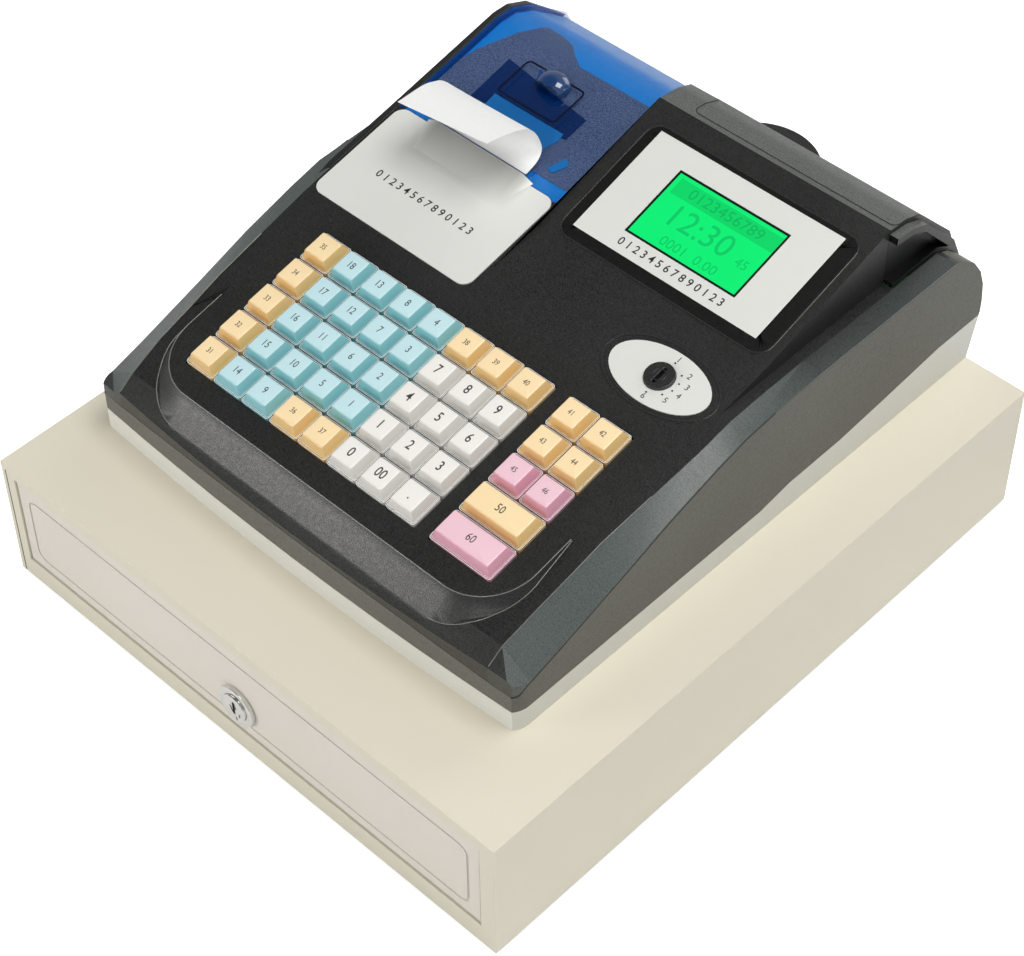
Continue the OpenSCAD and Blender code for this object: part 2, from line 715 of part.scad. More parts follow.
// The moulding before its openings are cut.
module deck_moulding() difference() {
    union() {
        intersection() {
            deck_solid(0, 0);
            register_body(0);
        }
        raised_deck(cove);
        along_x(display_x0, display_x1) display_view(0, 0);
        along_x(bay_x0 - 3, bay_x0) rim_view(0.6);
        along_x(bay_x0 - 3, bay_x1 + 1) polygon([[body_y, cab_h + 60],
            [body_y, cab_h + deck_h(body_y) - 1], [flush_y, cab_h + deck_h(flush_y)],
            [frame_y - 1, cab_h + deck_h(frame_y - 1)], [frame_y - 1, cab_h + 60]]);
    }
    intersection() {
        deck_solid(wall, deck_t);
        register_body(wall);
    }
    raised_deck([[-wall, deck_t], [-wall, 45]]);
    along_x(display_x0 + wall, display_x1 - wall) display_view(wall, deck_t);
    // Everything under the seam belongs to the lower housing
    along_x(reg_x - half_w - 1, reg_x + half_w + 1) below(seam_line, -seam_gap);
}

module top_housing() color("#1c1d1e") difference() {
    difference() {
        deck_moulding();
        // Room for the rear hood and the customer display
        box([bay_x0 + 10, seam_y, cab_h + 40], [wing_x, cab_d + 20, cab_h + 200]);
        translate([turret_x, turret_y, cab_h]) cylinder(r = turret_r + 0.6, h = turret_top + 4);
    }
    // Printer bay
    along_x(bay_x0, bay_x1) polygon([[cover_y() - 0.4, cab_h - 20], [cover_y() - 0.4, cab_h + 150],
        [cab_d + 20, cab_h + 150], [cab_d + 20, cab_h - 20]]);
    on_deck() {
        translate([bay_left + 4, plate_start + 4, -20]) cube([bay_right - bay_left - 8, 90, 40]);
        translate([0, 0, clear - plate_t]) linear_extrude(20) plate_outline(clear);
        key_window(0, 7);
        key_window(right_block, right_block + 1);
        oval_seat();
    }
    on_display() {
        translate([0, 0, -plate_sink]) linear_extrude(5) window_outline(clear);
        lcd_hole(1, -20, 30);
    }
}

module key_window(c0, c1) {
    half = (pitch - key_gap) / 2 + window_gap;
    x0 = first_col + c0 * pitch - half;
    x1 = first_col + c1 * pitch + half;
    y1 = first_row + (key_rows - 1) * pitch + half;
    translate([x0, first_row - half, -20]) cube([x1 - x0, y1 - first_row + half, 40]);
}

module plate_outline(gap) round_rect([bay_left + 1.5 - gap, plate_start - gap],
    [bay_right - 2.3 + gap, 188.4], 6);

module oval(a, b) polygon([for (t = [0:7.5:352.5]) [a * cos(t), b * sin(t)]]);

// Centre of the mode switch in the deck's frame.
function oval_y() = first_row + (key_rows - 1) * pitch + mode_rise;

module oval_seat() translate([mode_x, oval_y(), -0.8]) {
    linear_extrude(5) oval(oval_a + 0.2, oval_b + 0.2);
    translate([0, 0, -10]) cylinder(r = switch_r + 1.5, h = 12);
}

function window_x() = (display_x1 - display_x0 - window_w) / 2;
module window_outline(gap) translate([window_x() - gap, plate_margin - gap])
    square([window_w + 2 * gap, window_l + 2 * gap]);

module lcd_hole(gap, z0, h) translate([window_x() + lcd_x - gap, lcd_y - gap, z0])
    cube([lcd_w + 2 * gap, lcd_l + 2 * gap, h]);

// ---- Keys ----

// One key: skirt through the deck, tapered cap, and a stem into its switch.
module key(c, r, width = 1) {
    base = pitch - key_gap;
    grow = (width - 1) * pitch;
    on_deck() translate([first_col + (c + (width - 1) / 2) * pitch, first_row + r * pitch, 0]) {
        translate([-(base + grow) / 2, -base / 2, -skirt_h]) cube([base + grow, base, skirt_h + 1]);
        skin([for (p = [[base, 1 - eps], [key_top, key_h]])
            [for (q = [[-1, -1], [1, -1], [1, 1], [-1, 1]])
                [q.x * (p[0] + grow) / 2, q.y * p[0] / 2, p[1]]]]);
        translate([0, 0, -stem_end]) cylinder(r = stem_r, h = stem_end - skirt_h + 1);
    }
}

module key_column(c, rows, shade) for (r = rows) color(shade) key(c, r);

cream = "moccasin";
blue = "lightblue";
white = "whitesmoke";
pink = "pink";

module keys_top() color(cream) for (c = [5:7]) key(c, 4);

module keys_right() {
    for (c = [0, 1], r = [2, 3, 4]) color(r == 2 ? pink : cream) key(right_block + c, r);
}

module key_board() color("darkgreen") on_deck() {
    edge = pitch / 2 + 1.5;
    places = concat([for (c = [0:7], r = [0:key_rows - 1]) [c, r]],
        [for (c = [0, 1], r = [2:key_rows - 1]) [right_block + c, r]],
        [for (r = [0, 1]) [right_block + 0.5, r]]);
    difference() {
        union() {
            translate([first_col - edge, first_row - edge, -board_top - board_t])
                cube([(right_block + 1) * pitch + 2 * edge, (key_rows - 1) * pitch + 2 * edge, board_t]);
            for (p = places) translate([first_col + p[0] * pitch - switch_w / 2,
                first_row + p[1] * pitch - switch_w / 2, -board_top - eps])
                cube([switch_w, switch_w, switch_h]);
        }
        for (p = places) translate([first_col + p[0] * pitch, first_row + p[1] * pitch, -board_top])
            cylinder(r = stem_r + clear, h = switch_h + 1);
    }
}

// ---- Printer ----

module printer_plate() color("lightgray") on_deck() translate([(bay_left + bay_right) / 2, 0, 0]) {
    half = paper_w / 2 + 1;
    top = clear - eps;
    difference() {
        translate([-(bay_left + bay_right) / 2, 0, clear - plate_t])
            linear_extrude(plate_t) plate_outline(0);
        translate([-half - 2, slot_start - 9, -5]) cube([2 * half + 4, 20, 10]);
    }
    // Ramp that lifts the paper to its tear edge
    polyhedron(
        points = [[-half, ramp_start, top], [half, ramp_start, top], [half + 6, ramp_end, top],
            [-half - 6, ramp_end, top], [half, ramp_end, top + ramp_h], [-half, ramp_end, top + ramp_h]],
        faces = [[0, 1, 2, 3], [0, 5, 4, 1], [1, 4, 2], [0, 3, 5], [2, 4, 5, 3]]);
}

// Side view of the cover's outside, drawn in by a distance.
module cover_view(inset) polygon([
    [cover_y() + inset, cab_h + deck_h(cover_y()) - 12],
    [cover_y() + inset, cab_h + deck_h(cover_y()) - inset],
    [crease_y - crease_half, cab_h + ridge_h - 1.3 - inset],
    [crease_y + 5, cab_h + ridge_h - 1.3 - inset],
    [crease_y + 18, cab_h + ridge_h - 6.5 - inset * 1.2], [slope_y - inset * 0.5, cab_h + slope_h - inset],
    [cab_d - inset, hinge_z + 0.5], [cab_d - inset, hinge_z - 12]]);

module printer_cover() color("royalblue", 0.6) {
    x0 = bay_x0 + 0.4;
    x1 = bay_x1 - 0.4;
    difference() {
        along_x(x0, x1) cover_view(0);
        along_x(x0 + cover_t, x1 - cover_t) cover_view(cover_t);
        // Open underneath, on a line from the slot to the hinge
        along_x(x0 - 1, x1 + 1) polygon([
            [slot_y() - 9, cab_h + 40], [slot_y() - 9, cab_h + deck_h(slot_y()) - 4],
            [crease_y, cab_h + ridge_h - 12], [slope_y - 22, cab_h + slope_h + 4],
            [slope_y - 12, cab_h + slope_h - 4], [hinge_y - 4, hinge_z],
            [cab_d + 20, hinge_z], [cab_d + 20, cab_h + 40]]);
        // Notch where the paper comes out
        box([paper_x - paper_w / 2 - 1.5, slot_y() - 9, cab_h + 60],
            [paper_x + paper_w / 2 + 1.5, slot_y() + 6.5, cab_h + 130]);
        // Room for the hinge's ears
        for (x = [frame_x0, frame_x1 - frame_t]) box([x - clear, hinge_y - 8, hinge_z - 5],
            [x + frame_t + clear, cab_d + 1, hinge_z + 8]);
    }
    rod_x(frame_x0 + frame_t + 0.3, frame_x1 - frame_t - 0.3, hinge_y, hinge_z, hinge_r);
    rod_x(frame_x0, frame_x1, hinge_y, hinge_z, hinge_pin_r);
    // Webs that join the hinge's rod to the cover
    for (x = [frame_x0 + frame_t + 1, frame_x1 - frame_t - 4, paper_x]) along_x(x, x + 3)
        polygon([[hinge_y - 1, hinge_z], [hinge_y - 1, hinge_z + 6], [cab_d - 2.4, hinge_z + 4],
            [cab_d - 0.6, hinge_z + 0.6]]);
    // Finger lug
    translate([paper_x, lug_y, cab_h + cover_h(lug_y)]) rotate([atan(cover_slope()), 0, 0])
        intersection() {
            translate([0, 0, -1]) cylinder(r = lug_r, h = 6);
            translate([-lug_r - 1, -lug_r, -1]) cube([2 * lug_r + 2, lug_r, 4.5]);
        }
}

module printer_frame() color("#26282a") {
    difference() {
        union() {
            for (x = [frame_x0, frame_x1 - frame_t]) along_x(x, x + frame_t) polygon([
                [frame_y, cab_h + wall], [frame_y, cab_h + frame_h - 10],
                [platen_y + 12, cab_h + frame_h], [roll_y + 6, cab_h + frame_h],
                [hinge_y - 14, cab_h + frame_h - 22],
                [hinge_y, hinge_z + ear_r], [hinge_y, hinge_z - ear_r], [hinge_y - 3, cab_h + 50],
                [hinge_y - 3, cab_h + wall]]);
            for (x = [frame_x0, frame_x1 - frame_t]) rod_x(x, x + frame_t, hinge_y, hinge_z, ear_r);
            box([frame_x0, frame_y, frame_z], [frame_x1, cab_d - 5, frame_z + frame_t]);
            // Cradle of the feed motor
            box([gear_x - 27, platen_y - 6, frame_z], [gear_x - 4, platen_y + 6, motor_z - motor_r + eps]);
            // Seat of the print head
            box([paper_x - paper_w / 2, frame_y, frame_z],
                [paper_x + paper_w / 2, frame_y + 4, platen_z - 8]);
        }
        rod_x(frame_x0 - eps, frame_x1 + eps, hinge_y, hinge_z, hinge_pin_r + fit);
        rod_x(frame_x0 - eps, frame_x1 + eps, platen_y, platen_z, platen_shaft_r + fit);
    }
    // Spindle of the paper roll
    rod_x(frame_x0 + eps, frame_x1 - eps, roll_y, roll_z, spindle_r);
}

// Flat gear with straight-sided teeth, first tooth on +Y.
module gear(teeth, phase) {
    pitch_r = gear_module * teeth / 2;
    root_r = pitch_r - gear_module * 1.1;
    tip_r = pitch_r + gear_module * 0.75;
    step = 360 / teeth;
    circle(root_r);
    for (i = [0:teeth - 1]) rotate(i * step + phase) polygon([
        [root_r - 0.2, -root_r * sin(step * 0.26)], [tip_r, -tip_r * sin(step * 0.085)],
        [tip_r, tip_r * sin(step * 0.085)], [root_r - 0.2, root_r * sin(step * 0.26)]]);
}

module platen_roller() color("dimgray") {
    rod_x(paper_x - paper_w / 2 - 1, paper_x + paper_w / 2 + 1, platen_y, platen_z, platen_r);
    rod_x(frame_x0, frame_x1, platen_y, platen_z, platen_shaft_r);
    translate([0, platen_y, platen_z]) along_x(gear_x, gear_x + gear_w) gear(platen_teeth, -90);
}

module feed_motor() color("silver") {
    rod_x(gear_x - 26, gear_x - 4, platen_y, motor_z, motor_r);
    rod_x(gear_x - 5, gear_x + gear_w + 1, platen_y, motor_z, 1);
}

module motor_pinion() color("goldenrod") translate([0, platen_y, motor_z])
    along_x(gear_x - 0.5, gear_x + gear_w + 0.5) difference() {
        gear(pinion_teeth, 90 + 180 / pinion_teeth);
        circle(1 + fit);
    }

module print_head() color("gray") {
    x0 = paper_x - paper_w / 2;
    box([x0, frame_y + 4, platen_z - 8], [x0 + paper_w, platen_y - platen_r - 0.4, platen_z + 3]);
    box([x0 + 5, frame_y, platen_z - 8], [x0 + paper_w - 5, frame_y + 4 + eps, platen_z - 2]);
}

module paper_roll() color("white") difference() {
    rod_x(paper_x - paper_w / 2, paper_x + paper_w / 2, roll_y, roll_z, roll_r);
    rod_x(paper_x - paper_w, paper_x + paper_w, roll_y, roll_z, spindle_r + fit);
}

// Paper strip: two arcs in the side view, from the slot back and then forward.
module receipt() {
    thick = 0.3;
    y0 = slot_y() - 4;
    back_r = 14.4;
    z0 = cab_h + cover_h(y0 + back_r) + 12.5;
    top_r = 62;
    turn = 60;
    rise = back_r - top_r;
    back = [for (a = [-76:8:turn - 1]) a];
    top = [for (a = [turn:4:92]) a];
    function arc(r) = concat([for (a = back) [y0 + (back_r + r) * cos(a), z0 + (back_r + r) * sin(a)]],
        [for (a = top) [y0 + rise * cos(turn) + (top_r + r) * cos(a),
            z0 + rise * sin(turn) + (top_r + r) * sin(a)]]);
    inner = arc(0);
    color("white") along_x(paper_x - paper_w / 2, paper_x + paper_w / 2)
        polygon(concat(arc(thick), [for (i = [len(inner) - 1:-1:0]) inner[i]]));
}

// ---- Display ----

module display_plate() color("lightgray") on_display() difference() {
    translate([0, 0, -plate_sink]) linear_extrude(plate_sink + 0.2) window_outline(0);
    lcd_hole(0, -5, 10);
}

module lcd_module() color("springgreen") on_display() {
    lcd_hole(-0.2, -2.5, 2.3);
    translate([window_x() + lcd_x - 4.8, lcd_y - 4.4, -deck_t - 2.6]) cube([lcd_w + 9.6, lcd_l + 8.8, 1.6]);
    lcd_hole(-4, -4, 2);
}

// Outside of the rear hood in the side view, drawn in by a distance.
function hood_outline(inset) = [[seam_y + clear, cab_h + display_h(seam_y) - inset],
    [seam_y + 13, cab_h + hood_h - inset], [seam_y + 23, cab_h + hood_h - 3.5 - inset * 1.2],
    [slope_y - inset, cab_h + slope_h - inset * 0.4], [cab_d - inset, cab_h + hood_low],
    [cab_d + 1.4 - inset, cab_h + hood_low - 5.5]];

module rear_hood() color("#232526") {
    low = cab_h + hood_low - 5.5;
    hood_x = display_x0 + 0.4;
    foot = cab_h + wing_h + clear;
    difference() {
        union() {
            along_x(hood_x, display_x1) polygon(concat(hood_outline(0), [[seam_y + clear, low]]));
            along_x(display_x1 - eps, wing_x - clear)
                polygon(concat(hood_outline(lip_drop), [[seam_y + clear, low]]));
        }
        along_x(hood_x + wall, display_x1 - wall) polygon(concat(hood_outline(wall),
            [[cab_d + 1.4 - wall, cab_h + 40], [seam_y - 1, cab_h + 40],
            [seam_y - 1, cab_h + display_h(seam_y) - wall]]));
        // Recess under the lip at the hood's right end
        along_x(display_x1, wing_x) polygon(concat([[seam_y - 1, foot + wall],
            [seam_y - 1, cab_h + display_h(seam_y) - lip_drop - lip_t]],
            [for (i = [1:3]) hood_outline(lip_drop + lip_t)[i]], [[slope_y - 16, foot + wall]]));
        // Walls stand on the wings; the rear skirt reaches down to the rear wall
        along_x(-cab_w, cab_w) polygon([[front, cab_h + 40], [front, foot],
            [cab_d + rear_bulge - rear_r, foot], [cab_d - 3.5, cab_h + hood_low],
            [cab_d - 3.5, cab_h + 40]]);
        translate([turret_x, turret_y, cab_h + 40]) cylinder(r = turret_r + 0.6, h = turret_top - 40 + 0.6);
    }
}

module customer_display() color("#202122") difference() {
    translate([turret_x, turret_y, turret_z]) cylinder(r = turret_r, h = cab_h + turret_top - turret_z);
    translate([turret_x, turret_y, turret_z - eps]) cylinder(r = pivot_r + fit, h = 16);
    // Window that faces the customer
    box([turret_x - 20, turret_y + turret_r - 5, turret_z + 7], [turret_x + 20, cab_d + 1, turret_z + 33]);
}

// ---- Mode switch ----

module mode_plate() color("lightgray") on_deck() translate([mode_x, oval_y(), -0.8]) difference() {
    linear_extrude(1.2) oval(oval_a, oval_b);
    translate([0, 0, -1]) cylinder(r = switch_r + fit, h = 4);
}

module mode_switch() color("#303234") on_deck() translate([mode_x, oval_y(), 0]) difference() {
    translate([0, 0, -24]) cylinder(r = switch_r, h = 26);
    translate([-0.9, -4.5, -2]) cube([1.8, 9, 5]);
}

// ---- Electronics and fasteners ----

module main_board() color("darkgreen") translate([board_x, board_y, board_z]) {
    inset = 6;
    cube([board_w, board_l, board_t]);
    for (x = [inset, board_w - inset], y = [inset, board_l - inset])
        translate([x, y, wall + cab_h - board_z]) cylinder(r = 3, h = board_z - cab_h - wall + eps);
    // Chips, the row of sockets, and the power module
    translate([0, 0, board_t - eps]) {
        for (i = [0:2]) translate([15 + 30 * i, board_l * 0.35, 0]) cube([20, 14, 3]);
        translate([20, board_l * 0.75, 0]) cube([70, 8, 8.5]);
        translate([board_w - 52, board_l - 54, 0]) cube([44, 46, power_h]);
    }
}

module screws() color("silver") for (x = [-screw_x, screw_x], y = screw_rows())
    translate([reg_x + x, y, 0]) {
        translate([0, 0, cab_h - sheet - 2]) cylinder(r = 4, h = 2);
        translate([0, 0, cab_h - sheet - eps]) cylinder(r = screw_r, h = 9);
    }

home() cabinet_shell();
home() cabinet_floor();
home() rubber_feet();
home() slide_rails();
home() rail_rollers();
home() drawer_pan();
home() drawer_front();
home() drawer_rollers();
home() lock_collar();
home() lock_plug();
home() lock_cam();
home() drawer_catch();
home() cash_tray();
home() bill_clips();
home() drawer_latch();
home() latch_solenoid();
home() solenoid_plunger();
home() eject_spring();
home() base_tray();
home() lower_housing();
home() top_housing();
home() key_board();
home() printer_plate();
home() printer_cover();
home() printer_frame();
home() platen_roller();
home() feed_motor();
home() motor_pinion();
home() print_head();
home() paper_roll();
home() receipt();
home() display_plate();
home() lcd_module();
home() rear_hood();
home() customer_display();
home() mode_plate();
home() mode_switch();
home() main_board();
home() screws();
home() color(white) key(5, 0);  // key_0
home() color(white) key(6, 0);  // key_00
home() color(white) key(7, 0);  // key_point
home() color(white) key(5, 1);  // key_1
home() color(white) key(6, 1);  // key_2
home() color(white) key(7, 1);  // key_3
home() color(white) key(5, 2);  // key_4
home() color(white) key(6, 2);  // key_5
home() color(white) key(7, 2);  // key_6
home() color(white) key(5, 3);  // key_7
home() color(white) key(6, 3);  // key_8
home() color(white) key(7, 3);  // key_9
home() color(cream) key(right_block, 1, 2);  // key_total
home() color(pink) key(right_block, 0, 2);  // key_cash
home() key_column(0, [0:4], cream);  // keys_column_a
home() key_column(1, [0:4], blue);  // keys_column_b
home() key_column(2, [0:4], blue);  // keys_column_c
home() key_column(3, [0:4], blue);  // keys_column_d
home() key_column(4, [0:4], blue);  // keys_column_e
home() keys_top();
home() keys_right();
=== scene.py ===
import json
import math

import bmesh
import bpy
from mathutils import Matrix, Vector


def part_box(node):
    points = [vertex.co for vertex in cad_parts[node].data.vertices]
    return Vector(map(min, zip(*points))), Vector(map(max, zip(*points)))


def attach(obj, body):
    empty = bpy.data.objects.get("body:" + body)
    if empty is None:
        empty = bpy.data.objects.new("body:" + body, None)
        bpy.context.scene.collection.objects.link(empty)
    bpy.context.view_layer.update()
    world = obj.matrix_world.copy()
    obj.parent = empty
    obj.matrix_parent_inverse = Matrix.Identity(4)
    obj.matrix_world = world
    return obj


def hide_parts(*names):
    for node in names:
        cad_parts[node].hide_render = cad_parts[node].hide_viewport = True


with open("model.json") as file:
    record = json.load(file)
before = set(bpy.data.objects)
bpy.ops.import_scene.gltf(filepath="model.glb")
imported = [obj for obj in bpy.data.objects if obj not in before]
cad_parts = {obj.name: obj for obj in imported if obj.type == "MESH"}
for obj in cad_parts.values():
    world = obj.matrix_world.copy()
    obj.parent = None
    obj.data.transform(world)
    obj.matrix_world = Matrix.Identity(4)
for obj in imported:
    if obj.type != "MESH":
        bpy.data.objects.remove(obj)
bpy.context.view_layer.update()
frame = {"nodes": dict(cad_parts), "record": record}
nodes = frame["nodes"]
slotOf = {part["node"]: part["material_slot"] for part in frame["record"]["subparts"]}
bodyOf = {node: body for body, members in frame["record"]["behaviour"]["bodies"].items() for node in members}

# Sizes below are in millimetres in the maker's frame: X from the cabinet's middle,
# Y back from its front face, Z up from its bottom edge.
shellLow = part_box("cabinet_shell")[0]
maker = Matrix.Translation((0, shellLow.y, shellLow.z)) @ Matrix.Scale(0.001, 4)

register = {"middleX": -9, "halfWidth": 138, "frontY": 51, "baseZ": 77.5, "deckY": 62.5, "deckZ": 125.1,
            "deckTilt": 12.31, "displayX": -28, "displayY": 232, "displayTilt": 17.5}


def tilted(x, y, z, tilt=0, turn=0):
    return (maker @ Matrix.Translation((x, y, z)) @ Matrix.Rotation(math.radians(turn), 4, "Z")
            @ Matrix.Rotation(math.radians(tilt), 4, "X"))


registerFrame = tilted(register["middleX"], 0, 0)
deckFrame = tilted(register["middleX"], register["deckY"], register["deckZ"], register["deckTilt"])
deckRise = math.tan(math.radians(register["deckTilt"]))
displayZ = register["deckZ"] + (register["displayY"] - register["deckY"]) * deckRise
displayFrame = tilted(register["displayX"], register["displayY"], displayZ, register["displayTilt"])


# Finishes

class Wire:
    # One output of a shader node; Python's operators on it add Math nodes
    def __init__(self, finish, socket):
        self.finish = finish
        self.socket = socket

    def calc(self, operation, *values):
        return self.finish.node("ShaderNodeMath", dict(enumerate(values)), operation=operation)

    def __add__(self, other):
        return self.calc("ADD", self, other)

    __radd__ = __add__

    def __sub__(self, other):
        return self.calc("SUBTRACT", self, other)

    def __rsub__(self, other):
        return self.calc("SUBTRACT", other, self)

    def __mul__(self, other):
        return self.calc("MULTIPLY", self, other)

    __rmul__ = __mul__

    def __abs__(self):
        return self.calc("ABSOLUTE", self)

socketNames = {"colour": "Base Color", "rough": "Roughness", "metal": "Metallic", "normal": "Normal",
               "coat": "Coat Weight", "coatRough": "Coat Roughness", "alpha": "Alpha",
               "glow": "Emission Color", "glowStrength": "Emission Strength",
               "specular": "Specular IOR Level"}


class Shading:
    # A tree of shader nodes
    def __init__(self, owner):
        owner.use_nodes = True
        self.tree = owner.node_tree

    def node(self, kind, values=None, output=0, stops=None, **settings):
        made = self.tree.nodes.new(kind)
        for key, value in settings.items():
            setattr(made, key, value)
        if stops:
            ramp = made.color_ramp.elements
            for element, (place, colour) in zip(ramp, stops):
                element.position = place
                element.color = colour
        for key, value in (values or {}).items():
            if isinstance(value, Wire):
                self.tree.links.new(value.socket, made.inputs[key])
            else:
                made.inputs[key].default_value = value
        return Wire(self, made.outputs[output])

    def mix(self, factor, colourA, colourB):
        values = {0: factor, 6: colourA, 7: colourB}
        return self.node("ShaderNodeMix", values, output=2, data_type="RGBA")

    def span(self, wire, low, high, start=0.0, end=1.0):
        # Maps low..high to start..end and stays there beyond them
        return self.node("ShaderNodeMapRange", {0: wire, 1: low, 2: high, 3: start, 4: end})

    def greater(self, wireA, wireB):
        return self.node("ShaderNodeMath", {0: wireA, 1: wireB}, operation="MAXIMUM")

    def part(self, vector, axis):
        return self.node("ShaderNodeSeparateXYZ", {0: vector}, output=axis)


class Finish(Shading):
    # A material whose Principled shader is set by name
    def __init__(self, name, **fixed):
        self.material = bpy.data.materials.new(name)
        super().__init__(self.material)
        self.shader = self.tree.nodes["Principled BSDF"]
        for key, value in fixed.items():
            self.shader.inputs[socketNames[key]].default_value = value

    def feed(self, key, wire):
        self.tree.links.new(wire.socket, self.shader.inputs[socketNames[key]])

    def place(self):
        return self.node("ShaderNodeTexCoord", output="Object")

    def distance(self, axis, origin=0):
        # Millimetres along an axis of the maker's frame, measured from this origin
        start = maker.translation["XYZ".index(axis)] + origin / 1000
        return (self.part(self.place(), axis) - start) * 1000

    def noise(self, scale, detail=2, **values):
        values = {"Vector": self.place(), "Scale": scale, "Detail": detail, **values}
        return self.node("ShaderNodeTexNoise", values)

    def facing(self, axis):
        return self.part(self.node("ShaderNodeNewGeometry", output="Normal"), axis)

    def bump(self, height, strength, distance):
        values = {"Height": height, "Strength": strength, "Distance": distance}
        self.feed("normal", self.node("ShaderNodeBump", values))


def paint(red, green, blue, alpha=1.0):
    # Colours are written as on a colour card and go to the shader as linear light
    def linear(value):
        value /= 255
        return value / 12.92 if value <= 0.04045 else ((value + 0.055) / 1.055) ** 2.4

    return (linear(red), linear(green), linear(blue), alpha)


# Painted sheen on the strip along the register's sides, a lighter copy of the black plastic standing in for
# the light it catches:
# where it starts from the middle, at the front and at the back, and how far back it also covers the faces
# round the front corners
sideSheen = {"outFront": 121.3, "outBack": 127.4, "front": 51, "back": 177, "corner": 30, "cornerEnd": 40,
             "fade": 0.4, "dark": paint(60, 67, 65), "light": paint(88, 96, 94)}


# Paints the lighter sheen of the side strip into the black plastic's colour
def rimTone(finish, colour, mask):
    depth = finish.distance("Y")
    start = finish.span(depth, sideSheen["front"], sideSheen["back"],
                        sideSheen["outFront"], sideSheen["outBack"])
    corner = finish.span(depth, sideSheen["corner"], sideSheen["cornerEnd"], 1.0, 0.0)
    out = abs(finish.distance("X", register["middleX"]))
    sloped = finish.span(abs(finish.facing("X")), 0.03, 0.15)
    rim = finish.greater(sloped, corner) * finish.span(out - start, 0.0, sideSheen["fade"])
    return finish.mix(rim, colour, finish.mix(mask, sideSheen["dark"], sideSheen["light"]))


# The hollow at the hood's right end lies in deep shade
hollow = {"start": 112.4, "startEnd": 112.7, "floor": 159.2, "floorEnd": 159.6, "shade": paint(7, 8, 8)}


def recessTone(finish, colour, mask):
    inside = finish.span(finish.distance("X"), hollow["start"], hollow["startEnd"])
    upright = finish.span(finish.facing("Z"), 0.3, 0.5, 1.0, 0.0)
    bottom = finish.span(finish.distance("Z"), hollow["floor"], hollow["floorEnd"], 1.0, 0.0)
    return finish.mix(inside * finish.greater(upright, bottom), colour, hollow["shade"])


def grainedPlastic(name, dark, light, rough, speck, depth, tone=None, specular=0.3):
    # Moulded plastic with a fine eroded grain; a tone may paint a sheen or a shade onto some of its parts
    finish = Finish(name, specular=specular)
    grain = finish.noise(1700, 3)
    cloud = finish.noise(14, 2)
    mask = finish.node("ShaderNodeValToRGB", {0: grain * 0.85 + cloud * 0.15},
                       stops=[(0.5 - speck, (0, 0, 0, 1)), (0.5 + speck, (1, 1, 1, 1))])
    colour = finish.mix(mask, dark, light)
    finish.feed("colour", tone(finish, colour, mask) if tone else colour)
    finish.feed("rough", finish.noise(420, 2) * 0.2 + (rough - 0.1))
    finish.bump(grain, 0.35, depth)
    return finish.material


def powderPaint(name, colour, shade, paintedFrontShade=None):
    # Its front faces may take a painted shade of a duller colour
    finish = Finish(name, specular=0.35)
    peel = finish.noise(750, 2)
    cloud = finish.noise(9, 3)
    painted = finish.mix(cloud * 0.8 + peel * 0.2, colour, shade)
    if paintedFrontShade:
        painted = finish.mix(finish.span(finish.facing("Y"), -0.9, -0.4, 1.0, 0.0), painted, paintedFrontShade)
    finish.feed("colour", painted)
    finish.feed("rough", finish.noise(60, 2) * 0.12 + 0.42)
    finish.bump(peel, 0.12, 0.0002)
    return finish.material


def metal(name, colour, shade, rough, scale=(40, 2500, 2500)):
    # Rolled or brushed metal, its lines along X
    finish = Finish(name, metal=1.0)
    stretched = finish.node("ShaderNodeMapping", {"Vector": finish.place(), "Scale": scale})
    lines = finish.node("ShaderNodeTexNoise", {"Vector": stretched, "Scale": 1.0, "Detail": 3})
    finish.feed("colour", finish.mix(lines, colour, shade))
    finish.feed("rough", lines * 0.15 + (rough - 0.07))
    finish.bump(lines, 0.05, 0.0001)
    return finish.material


# Painted shade of the paper ramp on the plates: where it lies across and back, and how deep
rampShade = {"middleX": -82.5, "halfX": 36, "fadeX": 9, "front": 226, "back": 246, "depth": 0.6,
             "shade": paint(84, 82, 78)}


def satinPlate(name, colour, shade):
    # Satin silver film on the register's plates, with a painted shade where the paper ramp lies
    finish = Finish(name, metal=0.15, specular=0.35)
    grain = finish.noise(1500, 3)
    cloud = finish.noise(11, 2)
    film = finish.mix(cloud * 0.7 + grain * 0.3, colour, shade)
    across = abs(finish.distance("X", rampShade["middleX"]))
    paintedRampShade = (finish.span(finish.distance("Y"), rampShade["front"], rampShade["back"])
            * finish.span(across, rampShade["halfX"] - rampShade["fadeX"], rampShade["halfX"], 1.0, 0.0)
            * rampShade["depth"])
    finish.feed("colour", finish.mix(paintedRampShade, film, rampShade["shade"]))
    finish.feed("rough", grain * 0.12 + 0.38)
    finish.bump(grain, 0.06, 0.00008)
    return finish.material


def keyPlastic(name, top, side):
    # Clear cover over a tinted cap: flat tops pale, sides painted darker and deeper in colour, a painted
    # shade on the sides
    finish = Finish(name, coat=0.5, coatRough=0.12, specular=0.4)
    slope = finish.span(finish.facing("Z"), 0.72, 0.95, 1.0, 0.0)
    cloud = finish.noise(130, 2)
    finish.feed("colour", finish.mix(slope * 0.92 + cloud * 0.08, top, side))
    finish.feed("rough", cloud * 0.1 + 0.28)
    finish.bump(finish.noise(900, 2), 0.05, 0.00008)
    return finish.material


def darker(colour, share):
    return tuple(share * part for part in colour[:3]) + (1,)


def tintedCover(name, colour):
    # Glossy clear tint, denser where the cover's walls are seen on edge
    finish = Finish(name, coat=1.0, coatRough=0.04)
    cloud = finish.noise(40, 2)
    finish.feed("colour", finish.mix(cloud, colour, darker(colour, 0.85)))
    finish.feed("alpha", finish.span(abs(finish.facing("X")), 0.3, 0.9, 0.08, 0.6))
    finish.feed("rough", cloud * 0.05 + 0.08)
    return finish.material


